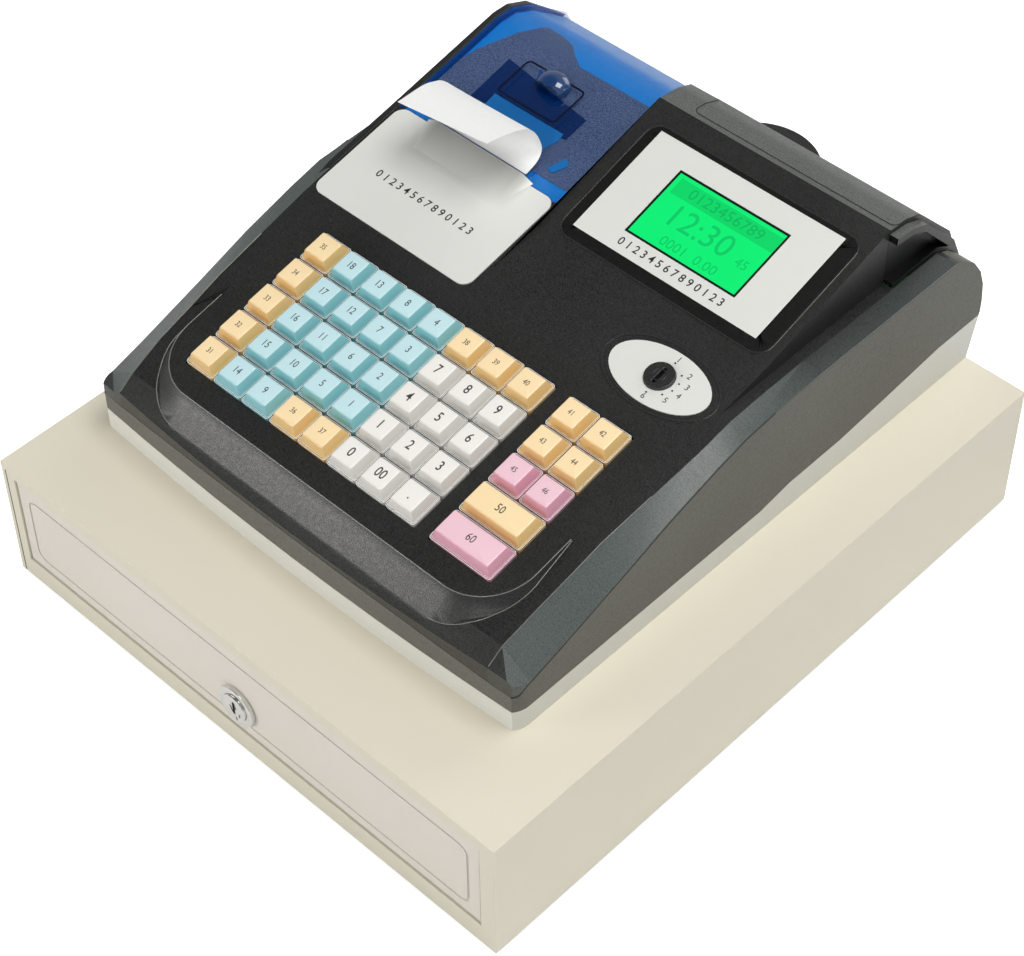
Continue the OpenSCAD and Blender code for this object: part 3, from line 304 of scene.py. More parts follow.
def plainPlastic(name, colour, rough, grainScale=600, coat=0.0):
    finish = Finish(name, coat=coat, coatRough=0.05)
    grain = finish.noise(grainScale, 2)
    finish.feed("colour", finish.mix(grain, colour, darker(colour, 0.82)))
    finish.feed("rough", grain * 0.1 + rough)
    finish.bump(grain, 0.1, 0.0001)
    return finish.material


def paperFinish(name):
    finish = Finish(name, specular=0.25)
    fibres = finish.noise(700, 4)
    finish.feed("colour", finish.mix(fibres, paint(244, 244, 243), paint(234, 234, 234)))
    finish.feed("rough", fibres * 0.1 + 0.55)
    finish.bump(fibres, 0.08, 0.0001)
    return finish.material


def litScreen(name, bright, dull, strength=0.75):
    # Back-lit panel of the display, its glow varying a little at random
    finish = Finish(name, rough=0.3, glowStrength=strength)
    cells = finish.noise(2200, 1)
    cloud = finish.noise(30, 1)
    finish.feed("colour", finish.mix(cells, paint(0, 110, 56), paint(0, 100, 48)))
    finish.feed("glow", finish.mix(cells * 0.3 + cloud * 0.7, bright, dull))
    return finish.material


finishes = {
    # The cabinet's front faces take a painted shade
    "cabinet_paint": powderPaint("cabinetPaint", paint(229, 223, 205), paint(222, 216, 198),
                                 paint(207, 202, 185)),
    "sheet_steel": metal("sheetSteel", paint(190, 192, 193), paint(158, 160, 162), 0.38),
    "lock_chrome": metal("lockChrome", paint(232, 232, 230), paint(214, 214, 212), 0.16, (300, 300, 300)),
    # The black plastic's side strip takes a painted sheen
    "black_plastic": grainedPlastic("blackPlastic", paint(8, 8, 8), paint(50, 51, 50), 0.34, 0.16, 0.0003,
                                    rimTone, 0.5),
    "grey_plastic": grainedPlastic("greyPlastic", paint(80, 80, 74), paint(112, 112, 105), 0.5, 0.2, 0.0003),
    "silver_plastic": grainedPlastic("silverPlastic", paint(206, 206, 199), paint(222, 222, 215), 0.36, 0.3,
                                     0.0001, None, 0.5),
    "silver_plate": satinPlate("silverPlate", paint(230, 231, 227), paint(221, 222, 217)),
    "clear_blue": tintedCover("clearBlue", paint(0, 96, 205)),
    "thermal_paper": paperFinish("thermalPaper"),
    "soft_rubber": plainPlastic("softRubber", paint(44, 44, 46), 0.7),
    "nylon": plainPlastic("nylon", paint(226, 224, 216), 0.4),
    "brass": metal("brass", paint(204, 168, 92), paint(176, 140, 70), 0.3, (300, 300, 300)),
    "circuit_board": plainPlastic("circuitBoard", paint(30, 84, 48), 0.4),
    "display_glass": litScreen("displayGlass", paint(0, 255, 128), paint(0, 244, 112)),
    "key_cream": keyPlastic("keyCream", paint(251, 226, 180), paint(222, 184, 120)),
    "key_blue": keyPlastic("keyBlue", paint(198, 230, 236), paint(126, 186, 192)),
    "key_white": keyPlastic("keyWhite", paint(240, 238, 233), paint(210, 208, 202)),
    "key_pink": keyPlastic("keyPink", paint(240, 202, 214), paint(210, 150, 170)),
}
extraFinishes = {
    "keyRim": plainPlastic("keyRim", paint(244, 246, 248), 0.2),
    "keyLine": plainPlastic("keyLine", paint(46, 44, 42), 0.5),
    "print": plainPlastic("printInk", paint(58, 56, 56), 0.5),
    "plateInk": plainPlastic("plateInk", paint(30, 30, 32), 0.5),
    "screenInk": litScreen("screenInk", paint(0, 214, 108), paint(0, 206, 102), 0.7),
    "screenBand": litScreen("screenBand", paint(0, 226, 108), paint(0, 218, 102), 0.72),
    "bandInk": litScreen("bandInk", paint(0, 200, 94), paint(0, 192, 88), 0.62),
    "screenBorder": plainPlastic("screenBorder", paint(6, 22, 12), 0.25),
    "black": plainPlastic("plainBlack", paint(8, 8, 8), 0.5),
    "panel": grainedPlastic("panelBlack", paint(8, 9, 8), paint(26, 28, 26), 0.36, 0.2, 0.0001),
    # Light grey edge lines: painted highlights
    "polished": plainPlastic("paintedHighlightEdge", paint(112, 114, 110), 0.2, 600, 0.7),
    "bezel": plainPlastic("bezelEdge", paint(40, 41, 40), 0.22, 600, 0.6),
    # The hood's black is painted lighter, a painted sheen for the light its curved top catches; its hollow
    # gets a painted deep shade
    "hoodSheenBlack": grainedPlastic("hoodSheenBlack", paint(48, 51, 49), paint(112, 115, 111), 0.32, 0.2, 0.0002,
                                recessTone, 0.6),
    # The drawer's front: a duller copy of the cabinet's paint, a painted shade for its front-facing side
    "shadedFrontPaint": powderPaint("shadedFrontPaint", paint(212, 206, 197), paint(205, 200, 190)),
    "groovePaint": powderPaint("groovePaint", paint(184, 179, 167), paint(176, 171, 158)),
    "gapShade": plainPlastic("gapShade", paint(84, 79, 68), 0.6),
    "lining": grainedPlastic("coverLining", paint(36, 50, 66), paint(100, 110, 128), 0.5, 0.14, 0.0001),
    "skyBlue": plainPlastic("tintedBlue", paint(0, 132, 216), 0.4, 200, 0.1),
    "deepBlue": plainPlastic("deepBlue", paint(2, 8, 40), 0.12, 60, 0.8),
    "webAndGlintBlue": plainPlastic("webAndGlintBlue", paint(0, 112, 184), 0.4, 90),
    "glossBlue": plainPlastic("glossBlue", paint(26, 62, 112), 0.06, 200, 1.0),
    "glassBlack": plainPlastic("glassBlack", paint(14, 12, 16), 0.08, 300, 0.8),
    "figureGreen": litScreen("figureGreen", paint(60, 230, 170), paint(50, 215, 160), 0.8),
}
slotFinish = {"drawer_front": extraFinishes["shadedFrontPaint"], "rear_hood": extraFinishes["hoodSheenBlack"]}
for node, piece in nodes.items():
    piece.data.materials.clear()
    piece.data.materials.append(slotFinish.get(node, finishes[slotOf[node]]))
print("finishes made")


# Pieces

def placed(name, data):
    # A new object in the scene
    made = bpy.data.objects.new(name, data)
    bpy.context.scene.collection.objects.link(made)
    return made


def meshOf(curve):
    # The mesh of a text or of a swept line
    holder = placed(curve.name + "_curve", curve)
    bpy.context.view_layer.update()
    mesh = bpy.data.meshes.new_from_object(holder.evaluated_get(bpy.context.evaluated_depsgraph_get()))
    bpy.data.objects.remove(holder)
    return mesh


def finishPiece(bm, name, body, materials, frameMatrix=maker, replaced=(), smoothAngle=35):
    # Places the mesh in the row frame and lets it ride on its body
    bmesh.ops.transform(bm, matrix=frameMatrix, verts=bm.verts)
    bmesh.ops.recalc_face_normals(bm, faces=bm.faces)
    for face in bm.faces:
        face.smooth = True
    for edge in bm.edges:
        edge.smooth = len(edge.link_faces) == 2 and edge.calc_face_angle(0) < math.radians(smoothAngle)
    mesh = bpy.data.meshes.new(name)
    bm.to_mesh(mesh)
    bm.free()
    piece = placed(name, mesh)
    for material in materials:
        mesh.materials.append(material)
    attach(piece, body)
    if replaced:
        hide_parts(*replaced)
    return piece


def rounded(bm, geometry, offset, segments=2, affect="EDGES", clamp=False):
    bmesh.ops.bevel(bm, geom=geometry, offset=offset, affect=affect, segments=segments, profile=0.5,
                    material=-1, clamp_overlap=clamp)


def newVerts(geometry):
    return [part for part in geometry if isinstance(part, bmesh.types.BMVert)]


def dressed(node, radius, sharp):
    # A copy of a node with its loose triangles joined and its hard edges rounded
    bm = bmesh.new()
    bm.from_mesh(nodes[node].data)
    bmesh.ops.remove_doubles(bm, verts=bm.verts, dist=0.000004)
    bmesh.ops.dissolve_limit(bm, angle_limit=math.radians(0.4), verts=bm.verts, edges=bm.edges)
    hard = [e for e in bm.edges if len(e.link_faces) == 2 and e.calc_face_angle(0) > math.radians(sharp)]
    rounded(bm, hard, radius / 1000, clamp=True)
    piece = finishPiece(bm, node + "_dressed", bodyOf[node], nodes[node].data.materials, Matrix(), [node],
                        sharp)
    piece.modifiers.new("weighted", "WEIGHTED_NORMAL").keep_sharp = True


edgeRadius = {"cabinet_shell": 0.7, "drawer_front": 0.5, "base_tray": 0.6, "lower_housing": 0.4,
              "top_housing": 0.7, "rear_hood": 1.6, "customer_display": 1, "printer_plate": 0.3,
              "display_plate": 0.2, "mode_plate": 0.3, "cash_tray": 0.8, "printer_cover": 0.8,
              "lock_collar": 0.5, "lock_plug": 0.4, "mode_switch": 0.5, "printer_frame": 0.4}
sharpAngle = {"top_housing": 14}
for node, radius in edgeRadius.items():
    dressed(node, radius, sharpAngle.get(node, 30))
print("mouldings dressed")


def flat(outline, rounding=0.0, steps=5):
    # One flat face with its corners rounded
    bm = bmesh.new()
    bm.faces.new([bm.verts.new((x, y, 0)) for x, y in outline])
    if rounding:
        rounded(bm, bm.verts[:], rounding, steps, "VERTICES")
    return bm


def box(x0, y0, x1, y1, rounding=0.0):
    return flat([(x0, y0), (x1, y0), (x1, y1), (x0, y1)], rounding)


def ring(bm, width):
    # Only a band of this width is left along the face's outline
    bm.normal_update()
    inner = bm.faces[:]
    bmesh.ops.inset_individual(bm, faces=inner, thickness=width, depth=0)
    bmesh.ops.delete(bm, geom=inner, context="FACES")
    return bm


def thick(bm, z, height, soft=0.0):
    # Gives the flat faces a height, and rounds the upper edges by soft
    bmesh.ops.translate(bm, vec=(0, 0, z), verts=bm.verts)
    lifted = bmesh.ops.extrude_face_region(bm, geom=bm.faces[:])["geom"]
    bmesh.ops.translate(bm, vec=(0, 0, height), verts=newVerts(lifted))
    if soft:
        rims = [e for e in bm.edges if len(e.link_faces) == 2 and e.calc_face_angle(0) > 1
                and all(v.co.z > z + height / 2 for v in e.verts)]
        rounded(bm, rims, soft)
    return bm


def oval(a, b, steps=64):
    bm = bmesh.new()
    bmesh.ops.create_circle(bm, cap_ends=True, segments=steps, radius=1)
    bmesh.ops.scale(bm, vec=(a, b, 1), verts=bm.verts)
    return bm


# Outline of the clear cover and of the hood seen from the side: (Y, Z)
coverProfile = [(243, 164.5), (317, 180.9), (328, 180.9), (341, 175.7), (368, 156), (375, 142.5)]
hoodProfile = [(317.3, 188.9), (330, 187.5), (340, 184), (368, 156), (375, 140)]


def onCircle(angle):
    return math.cos(math.radians(angle)), math.sin(math.radians(angle))


def heightAt(profile, y):
    for (y0, z0), (y1, z1) in zip(profile, profile[1:]):
        if y <= y1:
            break
    return z0 + (z1 - z0) * (y - y0) / (y1 - y0)


def draped(bm, profile, drop, height):
    # Lays a flat sheet along the side outline, this far below it
    for y, _ in profile[1:-1]:
        everything = bm.verts[:] + bm.edges[:] + bm.faces[:]
        bmesh.ops.bisect_plane(bm, geom=everything, plane_co=(0, y, 0), plane_no=(0, 1, 0))
    thick(bm, 0, height)
    for vert in bm.verts:
        vert.co.z += heightAt(profile, vert.co.y) - drop
    return bm


# Keys

keySize = {"pitch": 19.05, "gap": 0.65, "top": 12.9, "height": 6.5, "skirt": 5, "corner": 1.6, "edge": 0.5,
           "rim": 0.35, "line": 0.25, "ledge": 0.3, "rimZ": 1.3, "firstRow": 22.6, "firstCol": -90.13,
           "rightBlock": 8.456}
block = keySize["rightBlock"]


def keySpot(column, row, width=1):
    return (keySize["firstCol"] + (column + (width - 1) / 2) * keySize["pitch"],
            keySize["firstRow"] + row * keySize["pitch"])


def keyCap(bm, column, row, width=1, finishIndex=0):
    # One cap on the deck: skirt, clear rim, dark line, tapered cover with rounded edges
    older = set(bm.faces)
    base = keySize["pitch"] - keySize["gap"]
    grow = (width - 1) * keySize["pitch"]
    x, y = keySpot(column, row, width)
    verts = bmesh.ops.create_cube(bm, size=1)["verts"]
    bmesh.ops.scale(bm, vec=(base + grow, base, keySize["skirt"] + keySize["rimZ"]), verts=verts)
    bmesh.ops.translate(bm, vec=(x, y, (keySize["rimZ"] - keySize["skirt"]) / 2), verts=verts)
    uprights = [e for e in {edge for v in verts for edge in v.link_edges}
                if abs(e.verts[0].co.z - e.verts[1].co.z) > 1]
    rounded(bm, uprights, keySize["corner"], 4)
    bm.normal_update()
    middle = Vector((x, y, keySize["rimZ"]))
    top = min(bm.faces, key=lambda f: (f.calc_center_bounds() - middle).length)
    bands = []
    for step in ("rim", "line", "ledge"):
        bmesh.ops.inset_individual(bm, faces=[top], thickness=keySize[step], depth=0)
        bands.append([face for edge in top.edges for face in edge.link_faces if face is not top])
    lifted = bmesh.ops.extrude_face_region(bm, geom=[top])["geom"]
    bmesh.ops.delete(bm, geom=[top], context="FACES_ONLY")
    risen = newVerts(lifted)
    face = next(f for f in lifted if isinstance(f, bmesh.types.BMFace))
    bmesh.ops.translate(bm, vec=(0, 0, keySize["height"] - keySize["rimZ"]), verts=risen)
    inner = base - 2 * (keySize["rim"] + keySize["line"] + keySize["ledge"])
    shrink = ((keySize["top"] + grow) / (inner + grow), keySize["top"] / inner, 1)
    bmesh.ops.scale(bm, vec=shrink, verts=risen, space=Matrix.Translation((-x, -y, 0)))
    rounded(bm, list(face.edges), keySize["edge"])
    for made in set(bm.faces) - older:
        made.material_index = finishIndex
    for index, band in enumerate(bands[:2]):
        for made in band:
            made.material_index = index + 1


def keyGroup(node, places, other=None):
    # The caps of one node; places that name finish 3 take the other colour
    bm = bmesh.new()
    for place in places:
        keyCap(bm, *place)
    materials = [finishes[slotOf[node]], extraFinishes["keyRim"], extraFinishes["keyLine"]]
    if other:
        materials.append(finishes[other])
    return finishPiece(bm, node + "_cap", bodyOf[node], materials, deckFrame, [node])


numberKeys = {"key_0": (5, 0), "key_00": (6, 0), "key_point": (7, 0), "key_1": (5, 1), "key_2": (6, 1),
              "key_3": (7, 1), "key_4": (5, 2), "key_5": (6, 2), "key_6": (7, 2), "key_7": (5, 3),
              "key_8": (6, 3), "key_9": (7, 3)}
for node, spot in numberKeys.items():
    keyGroup(node, [spot])
keyGroup("key_total", [(block, 1, 2)])
keyGroup("key_cash", [(block, 0, 2)])
for column, letter in enumerate("abcde"):
    creamFoot = letter in "de"
    places = [(column, row, 1, 3 if creamFoot and row == 0 else 0) for row in range(5)]
    keyGroup("keys_column_" + letter, places, "key_cream" if creamFoot else None)
keyGroup("keys_top", [(column, 4) for column in (5, 6, 7)])
places = [(block + column, row, 1, 3 if row == 2 else 0) for column in (0, 1) for row in (2, 3, 4)]
keyGroup("keys_right", places, "key_pink")
print("keys made")


# Figures

printHeight = 0.04
keyPrint = {"number": 7.4, "numberBold": 0.06, "blue": 5.6, "code": 4.2, "double": 6, "stretch": 0.8,
            "lift": 0.02, "firstCode": 31}


def figure(text, size, name, body, material, frameMatrix, x, y, z, stretch=1.0, bold=0.0):
    # Raised print: a text made a mesh before its place is applied
    curve = bpy.data.curves.new(name, "FONT")
    curve.body = text
    curve.size = size
    curve.align_x = "CENTER"
    curve.align_y = "CENTER"
    curve.extrude = printHeight / 2
    curve.offset = bold
    curve.resolution_u = 3
    mesh = meshOf(curve)
    mesh.transform(frameMatrix @ Matrix.Translation((x, y, z)) @ Matrix.Diagonal((stretch, 1, 1, 1)))
    mesh.materials.clear()
    mesh.materials.append(material)
    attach(placed(name, mesh), body)


def keyFigure(text, size, name, node, column, row, width=1, bold=0.0):
    x, y = keySpot(column, row, width)
    figure(text, size, name, bodyOf[node], extraFinishes["print"], deckFrame, x, y,
           keySize["height"] + keyPrint["lift"], keyPrint["stretch"], bold)


for node, (column, row) in numberKeys.items():
    keyFigure(node[4:].replace("point", "."), keyPrint["number"], "figure_" + node, node, column, row, 1,
              keyPrint["numberBold"])
# Plain numbers stand in for the words of the department and function keys
blueNumbers = {"e": (4, 1, 1), "d": (3, 1, 5), "c": (2, 0, 9), "b": (1, 0, 14)}
for letter, (column, firstRow, first) in blueNumbers.items():
    for row in range(firstRow, 5):
        number = str(first + row - firstRow)
        keyFigure(number, keyPrint["blue"], "figure_" + number, "keys_column_" + letter, column, row)
codes = [("keys_column_a", 0, row) for row in range(5)] + [("keys_column_d", 3, 0), ("keys_column_e", 4, 0)]
codes += [("keys_top", column, 4) for column in (5, 6, 7)]
codes += [("keys_right", block + column, row) for row in (4, 3, 2) for column in (0, 1)]
for number, (node, column, row) in enumerate(codes, keyPrint["firstCode"]):
    keyFigure(str(number), keyPrint["code"], "code_" + str(number), node, column, row)
keyFigure("50", keyPrint["double"], "code_50", "key_total", block, 1, 2)
keyFigure("60", keyPrint["double"], "code_60", "key_cash", block, 0, 2)
print("figures made")


# Display: panel round the window plate, screen border, band and rows of figures

display = {"left": 8, "low": 2.2, "right": 136, "high": 77, "corner": 8, "panelWidth": 12,
           "panelHeight": 0.06, "rimOut": 0.6, "rimWidth": 0.9, "rimHeight": 0.4}
screen = {"left": 36.85, "right": 104.65, "low": 20.4, "high": 61.9, "corner": 0, "level": -0.2,
          "border": 1.8, "borderHeight": 0.12, "band": (40.6, 49.2, 103.2, 58.6),
          "rows": [("0123456789", 8.6, 71.8, 53.8, 1.05), ("12:30", 17.5, 67, 39.6, 1.02),
                   ("45", 7.2, 95.6, 36.4, 1.0), ("0001  0.00", 7.6, 71.5, 26.2, 1.05)]}
printedLine = {"text": "0 1 2 3 4 5 6 7 8 9 0 1 2 3", "size": 6.2, "stretch": 0.98, "bold": 0.06,
               "display": (70.5, 14.8, 0.22), "printer": (-74, 150.5, 0.33)}


def rectangle(sizes, grow=0.0):
    return box(sizes["left"] - grow, sizes["low"] - grow, sizes["right"] + grow, sizes["high"] + grow,
               sizes["corner"] + grow)


finishPiece(thick(ring(rectangle(display), display["panelWidth"]), 0.02, display["panelHeight"]),
            "displayPanel", "cabinet", [extraFinishes["panel"]], displayFrame)
displayRim = ring(rectangle(display, display["rimOut"]), display["rimWidth"])
finishPiece(thick(displayRim, 0.0, display["rimHeight"], 0.15), "displayRim", "cabinet",
            [extraFinishes["bezel"]], displayFrame)
finishPiece(thick(ring(rectangle(screen), screen["border"]), screen["level"] + 0.02, screen["borderHeight"]),
            "screenBorder", "cabinet", [extraFinishes["screenBorder"]], displayFrame)
finishPiece(thick(box(*screen["band"]), screen["level"] + 0.01, 0.02), "screenBand", "cabinet",
            [extraFinishes["screenBand"]], displayFrame)
for index, (text, size, x, y, stretch) in enumerate(screen["rows"]):
    ink = extraFinishes["screenInk" if index else "bandInk"]
    figure(text, size, "screenRow" + str(index), "cabinet", ink, displayFrame, x, y, screen["level"] + 0.05,
           stretch)
for name, frameMatrix in (("display", displayFrame), ("printer", deckFrame)):
    figure(printedLine["text"], printedLine["size"], name + "Line", "cabinet", extraFinishes["plateInk"],
           frameMatrix, *printedLine[name], printedLine["stretch"], printedLine["bold"])

# Mode switch: two rings round the oval plate, a dot and a number for each place

mode = {"x": 86.6, "y": 140.4, "plateTop": 0.4, "switchTop": 2.0, "dot": 0.5, "dots": 10, "numbers": 14.4,
        "size": 4.4, "flattened": 0.86, "places": (86, 40, 12.5, -14.6, -42.7, -87),
        "plateRings": [("modeGroove", 30.1, 17.5, 0.5, 0.1, "black"),
                       ("modeRing", 32.6, 19.0, 0.8, 0.3, "bezel")],
        "switchRings": [("switchRing", 3.4, 40, 0.5, 0.25, 0.1), ("switchRim", 7.2, 48, 0.4, 0.15, 0.05)]}
modeFrame = deckFrame @ Matrix.Translation((mode["x"], mode["y"], 0))
for name, a, b, width, height, finishName in mode["plateRings"]:
    finishPiece(thick(ring(oval(a, b), width), 0.0, height, 0.08), name, "cabinet",
                [extraFinishes[finishName]], modeFrame)
for index, angle in enumerate(mode["places"]):
    across, ahead = onCircle(angle)
    spot = Matrix.Translation((mode["dots"] * across, mode["dots"] * ahead, 0))
    finishPiece(thick(oval(mode["dot"], mode["dot"], 16), mode["plateTop"], 0.03), "modeDot" + str(index + 1),
                "cabinet", [extraFinishes["plateInk"]], modeFrame @ spot)
    figure(str(index + 1), mode["size"], "modeNumber" + str(index + 1), "cabinet", extraFinishes["plateInk"],
           modeFrame, mode["numbers"] * across, mode["numbers"] * mode["flattened"] * ahead,
           mode["plateTop"] + 0.02)
switchFrame = modeFrame @ Matrix.Translation((0, 0, mode["switchTop"]))
for name, radius, steps, width, height, soft in mode["switchRings"]:
    finishPiece(thick(ring(oval(radius, radius, steps), width), 0.0, height, soft), name, "mode_switch",
                [extraFinishes["bezel"]], switchFrame)
print("display and switch made")


# Printer: lining and tinted sheets under the clear cover, seen as its light and dark blue fields

lining = [(-29.6, 256), (-33.5, 318.1), (-81.3, 318.1), (-89.7, 323.5), (-95.5, 328.3), (-104.7, 331.7),
          (-115.7, 332.4), (-117, 327.9), (-124, 314.8), (-132.7, 296.9), (-135, 287), (-134.6, 256)]
sheets = [("coverBlue", [(-135, 246), (-29.6, 246), (-29.6, 366), (-135, 366)], 3.2, "skyBlue"),
          ("coverLining", lining, 2.9, "lining"),
          ("coverWindow", [(-113.4, 271.3), (-54.6, 279.2), (-54.6, 294), (-114.1, 301.7)], 2.6, "deepBlue"),
          ("coverWeb", [(-103, 264), (-61, 264), (-57, 277), (-58, 281), (-104, 281)], 2.4, "webAndGlintBlue"),
          # coverGlint: a small bright blue sheet, a painted highlight beside the window
          ("coverGlint", [(-50, 261), (-46, 260), (-42, 268), (-46, 271)], 2.4, "webAndGlintBlue")]
for name, outline, drop, finishName in sheets:
    finishPiece(draped(flat(outline), coverProfile, drop, 0.15), name, "printer_cover",
                [extraFinishes[finishName]], smoothAngle=60)
tab = {"left": -103.5, "low": 281, "right": -64.6, "high": 305, "corner": 3, "width": 0.9, "height": 0.3}
finishPiece(draped(ring(rectangle(tab), tab["width"]), coverProfile, -0.02, tab["height"]), "coverTab",
            "printer_cover", [extraFinishes["deepBlue"]])

# Finger lug: a glossy dome, cut flat towards the user
lug = {"x": -82, "y": 299.5, "sunk": 0.3, "tilt": 12.5, "halfSizes": (9.6, 8.4, 6.2), "foot": -0.1,
       "cut": -0.62}
bm = bmesh.new()
bmesh.ops.create_uvsphere(bm, u_segments=40, v_segments=20, radius=1)
cutAway = [v for v in bm.verts if v.co.z < lug["foot"] or v.co.y < lug["cut"]]
bmesh.ops.delete(bm, geom=cutAway, context="VERTS")
bmesh.ops.holes_fill(bm, edges=[e for e in bm.edges if e.is_boundary])
bmesh.ops.scale(bm, vec=lug["halfSizes"], verts=bm.verts)
lugFrame = tilted(lug["x"], lug["y"], heightAt(coverProfile, lug["y"]) - lug["sunk"], lug["tilt"])
finishPiece(bm, "fingerLug", "printer_cover", [extraFinishes["glossBlue"]], lugFrame, smoothAngle=50)

# The paper strip, curled more at its left edge than at its right: both edges as (Y, Z)
paper = {"left": -111, "width": 57, "thickness": 0.12,
         "rightEdge": [(250.6, 166.2), (258.4, 169.6), (261.6, 174.6), (260.4, 181), (256, 189.5),
                       (249.7, 194.6), (238, 198.9), (224, 201.6)],
         "leftEdge": [(250.6, 166.2), (258.4, 169.6), (261.2, 175), (258.6, 184), (252.6, 191),
                      (247, 194.2), (238, 196.6), (221.4, 196.4)]}


def smoothPoint(points, share):
    # A point of the smooth line through these points, at this share of its way
    way = share * (len(points) - 1)
    index = min(int(way), len(points) - 2)
    t = way - index
    a, b, c, d = (Vector(points[min(max(index + step, 0), len(points) - 1)]) for step in (-1, 0, 1, 2))
    return 0.5 * (2 * b + (c - a) * t + (2 * a - 5 * b + 4 * c - d) * t * t
                  + (3 * b - a - 3 * c + d) * t ** 3)


bm = bmesh.new()
bmesh.ops.create_grid(bm, x_segments=24, y_segments=72, size=1)
for vert in bm.verts:
    across, share = (vert.co.x + 1) / 2, (vert.co.y + 1) / 2
    point = smoothPoint(paper["leftEdge"], share).lerp(smoothPoint(paper["rightEdge"], share), across)
    vert.co = (paper["left"] + paper["width"] * across, point.x, point.y)
strip = finishPiece(bm, "receiptStrip", bodyOf["receipt"], [finishes["thermal_paper"]], replaced=["receipt"])
strip.modifiers.new("thickness", "SOLIDIFY").thickness = paper["thickness"] / 1000
print("printer made")


# Dark joint between the top and the lower moulding, along both sides and round the front corners

joint = {"corner": 12.5, "bow": 3.8, "low": -0.45, "high": 0.85, "proudOut": 0.03, "proudFront": 0.02,
         "line": [(0, 100.5), (3, 100.5), (7, 105), (29, 112), (49, 119), (69, 126), (99, 137), (129, 146),
                  (149, 151), (169, 153)]}
turned = [onCircle(angle) for angle in range(-42, 1, 6)]
plan = [(register["halfWidth"] - joint["corner"] * (1 - across), joint["corner"] * (1 + ahead) - joint["bow"])
        for across, ahead in turned]
plan += [(register["halfWidth"], y) for y, _ in joint["line"] if y > joint["corner"]]
for side in (-1, 1):
    bm = bmesh.new()
    points = [bm.verts.new((side * (x + joint["proudOut"]), register["frontY"] + y - joint["proudFront"],
                            heightAt(joint["line"], y) + joint["low"])) for x, y in plan]
    for pair in zip(points, points[1:]):
        bm.edges.new(pair)
    lifted = bmesh.ops.extrude_edge_only(bm, edges=bm.edges[:])["geom"]
    bmesh.ops.translate(bm, vec=(0, 0, joint["high"] - joint["low"]), verts=newVerts(lifted))
    finishPiece(bm, "sideJoint" + str(side), "cabinet", [extraFinishes["black"]], registerFrame)


# Painted highlights along edges: light grey glossy lines laid on the raised deck's rim, its foot, and the
# ridge over the side strip.
# Their points are measured outwards from the register's middle, back from its front and up from its base;
# outerDeck, ridgeInset and footOut give a height or a distance for each distance from the front.

polished = {"radius": 0.3, "rimFront": 11.5, "rimHeight": 47.6, "rimRadius": 29,
            "rimOut": {1: 112.7, -1: 115.0}, "sunk": 0.1, "raised": 0.05, "straight": (50, 62),
            "footFront": 10.3, "ridge": (0.5, 9, 19, 29, 49, 69, 99)}
outerDeck = [(-4, 30), (9, 39.5), (29, 47.5), (49, 53.5), (69, 60.1), (99, 66.7)]
ridgeInset = [(-4, 16.5), (9, 16.4), (29, 15), (69, 13.4), (99, 11.8)]
footOut = [(0, 10.3), (16, 5.0), (40, 1.9), (50, 1.2), (62, 0.4)]


def bead(name, points, side):
    curve = bpy.data.curves.new(name, "CURVE")
    curve.dimensions = "3D"
    curve.bevel_depth = polished["radius"]
    curve.bevel_resolution = 2
    curve.use_fill_caps = True
    line = curve.splines.new("POLY")
    line.points.add(len(points) - 1)
    for point, (x, y, z) in zip(line.points, points):
        point.co = (side * x, register["frontY"] + y, register["baseZ"] + z, 1)
    swept = meshOf(curve)
    bm = bmesh.new()
    bm.from_mesh(swept)
    bpy.data.meshes.remove(swept)
    finishPiece(bm, name, "cabinet", [extraFinishes["polished"]], registerFrame, smoothAngle=60)


def rimPoint(x, y):
    # On the raised deck's edge
    return x, y, polished["rimHeight"] + (y - polished["rimFront"]) * deckRise - polished["sunk"]


for side, edge in polished["rimOut"].items():
    centreY = polished["rimFront"] + polished["rimRadius"]
    deckRim, deckFoot = [], []
    for angle in range(-90, 1, 5):
        across, ahead = onCircle(angle)
        x = edge - polished["rimRadius"] * (1 - across)
        y = centreY + polished["rimRadius"] * ahead
        deckRim.append(rimPoint(x, y))
        out = heightAt(footOut, y + polished["footFront"] * angle / 90)
        deckFoot.append((x + out * across, y + out * ahead, heightAt(outerDeck, y + out * ahead)))
    for y in polished["straight"]:
        deckRim.append(rimPoint(edge, y))
        deckFoot.append((edge + heightAt(footOut, y), y, heightAt(outerDeck, y) + polished["raised"]))
    for name, points in (("deckRim", deckRim), ("deckFoot", deckFoot)):
        bead(name + str(side), [(0, *points[0][1:])] + points, side)
    ridge = [(register["halfWidth"] - heightAt(ridgeInset, y), y, heightAt(outerDeck, y))
             for y in polished["ridge"]]
    bead("sideRidge" + str(side), ridge, side)
print("edge lines made")


# Inset panel on the hood, drawn by its seam
hoodPanel = {"left": -10, "low": 320.6, "right": 113, "high": 352, "corner": 4, "seam": 0.45, "height": 0.12}
finishPiece(draped(ring(rectangle(hoodPanel), hoodPanel["seam"]), hoodProfile, -0.04, hoodPanel["height"]),
            "hoodSeam", "cabinet", [extraFinishes["black"]])

# Customer's window at the back, with plain figures
rearWindow = {"x": 14, "y": 370, "z": 134, "halfWidth": 19.6, "halfHeight": 12.6, "corner": 1.5, "back": 0.1,
              "thickness": 0.8, "soft": 0.2, "text": "0.00", "size": 13}
rearFrame = tilted(rearWindow["x"], rearWindow["y"], rearWindow["z"], 90, 180)
pane = box(-rearWindow["halfWidth"], -rearWindow["halfHeight"], rearWindow["halfWidth"],
           rearWindow["halfHeight"], rearWindow["corner"])
finishPiece(thick(pane, rearWindow["back"], rearWindow["thickness"], rearWindow["soft"]), "customerWindow",
            bodyOf["customer_display"], [extraFinishes["glassBlack"]], rearFrame)
figure(rearWindow["text"], rearWindow["size"], "customerFigures", bodyOf["customer_display"],
       extraFinishes["figureGreen"], rearFrame, 0, 0, 0.95, 0.95)

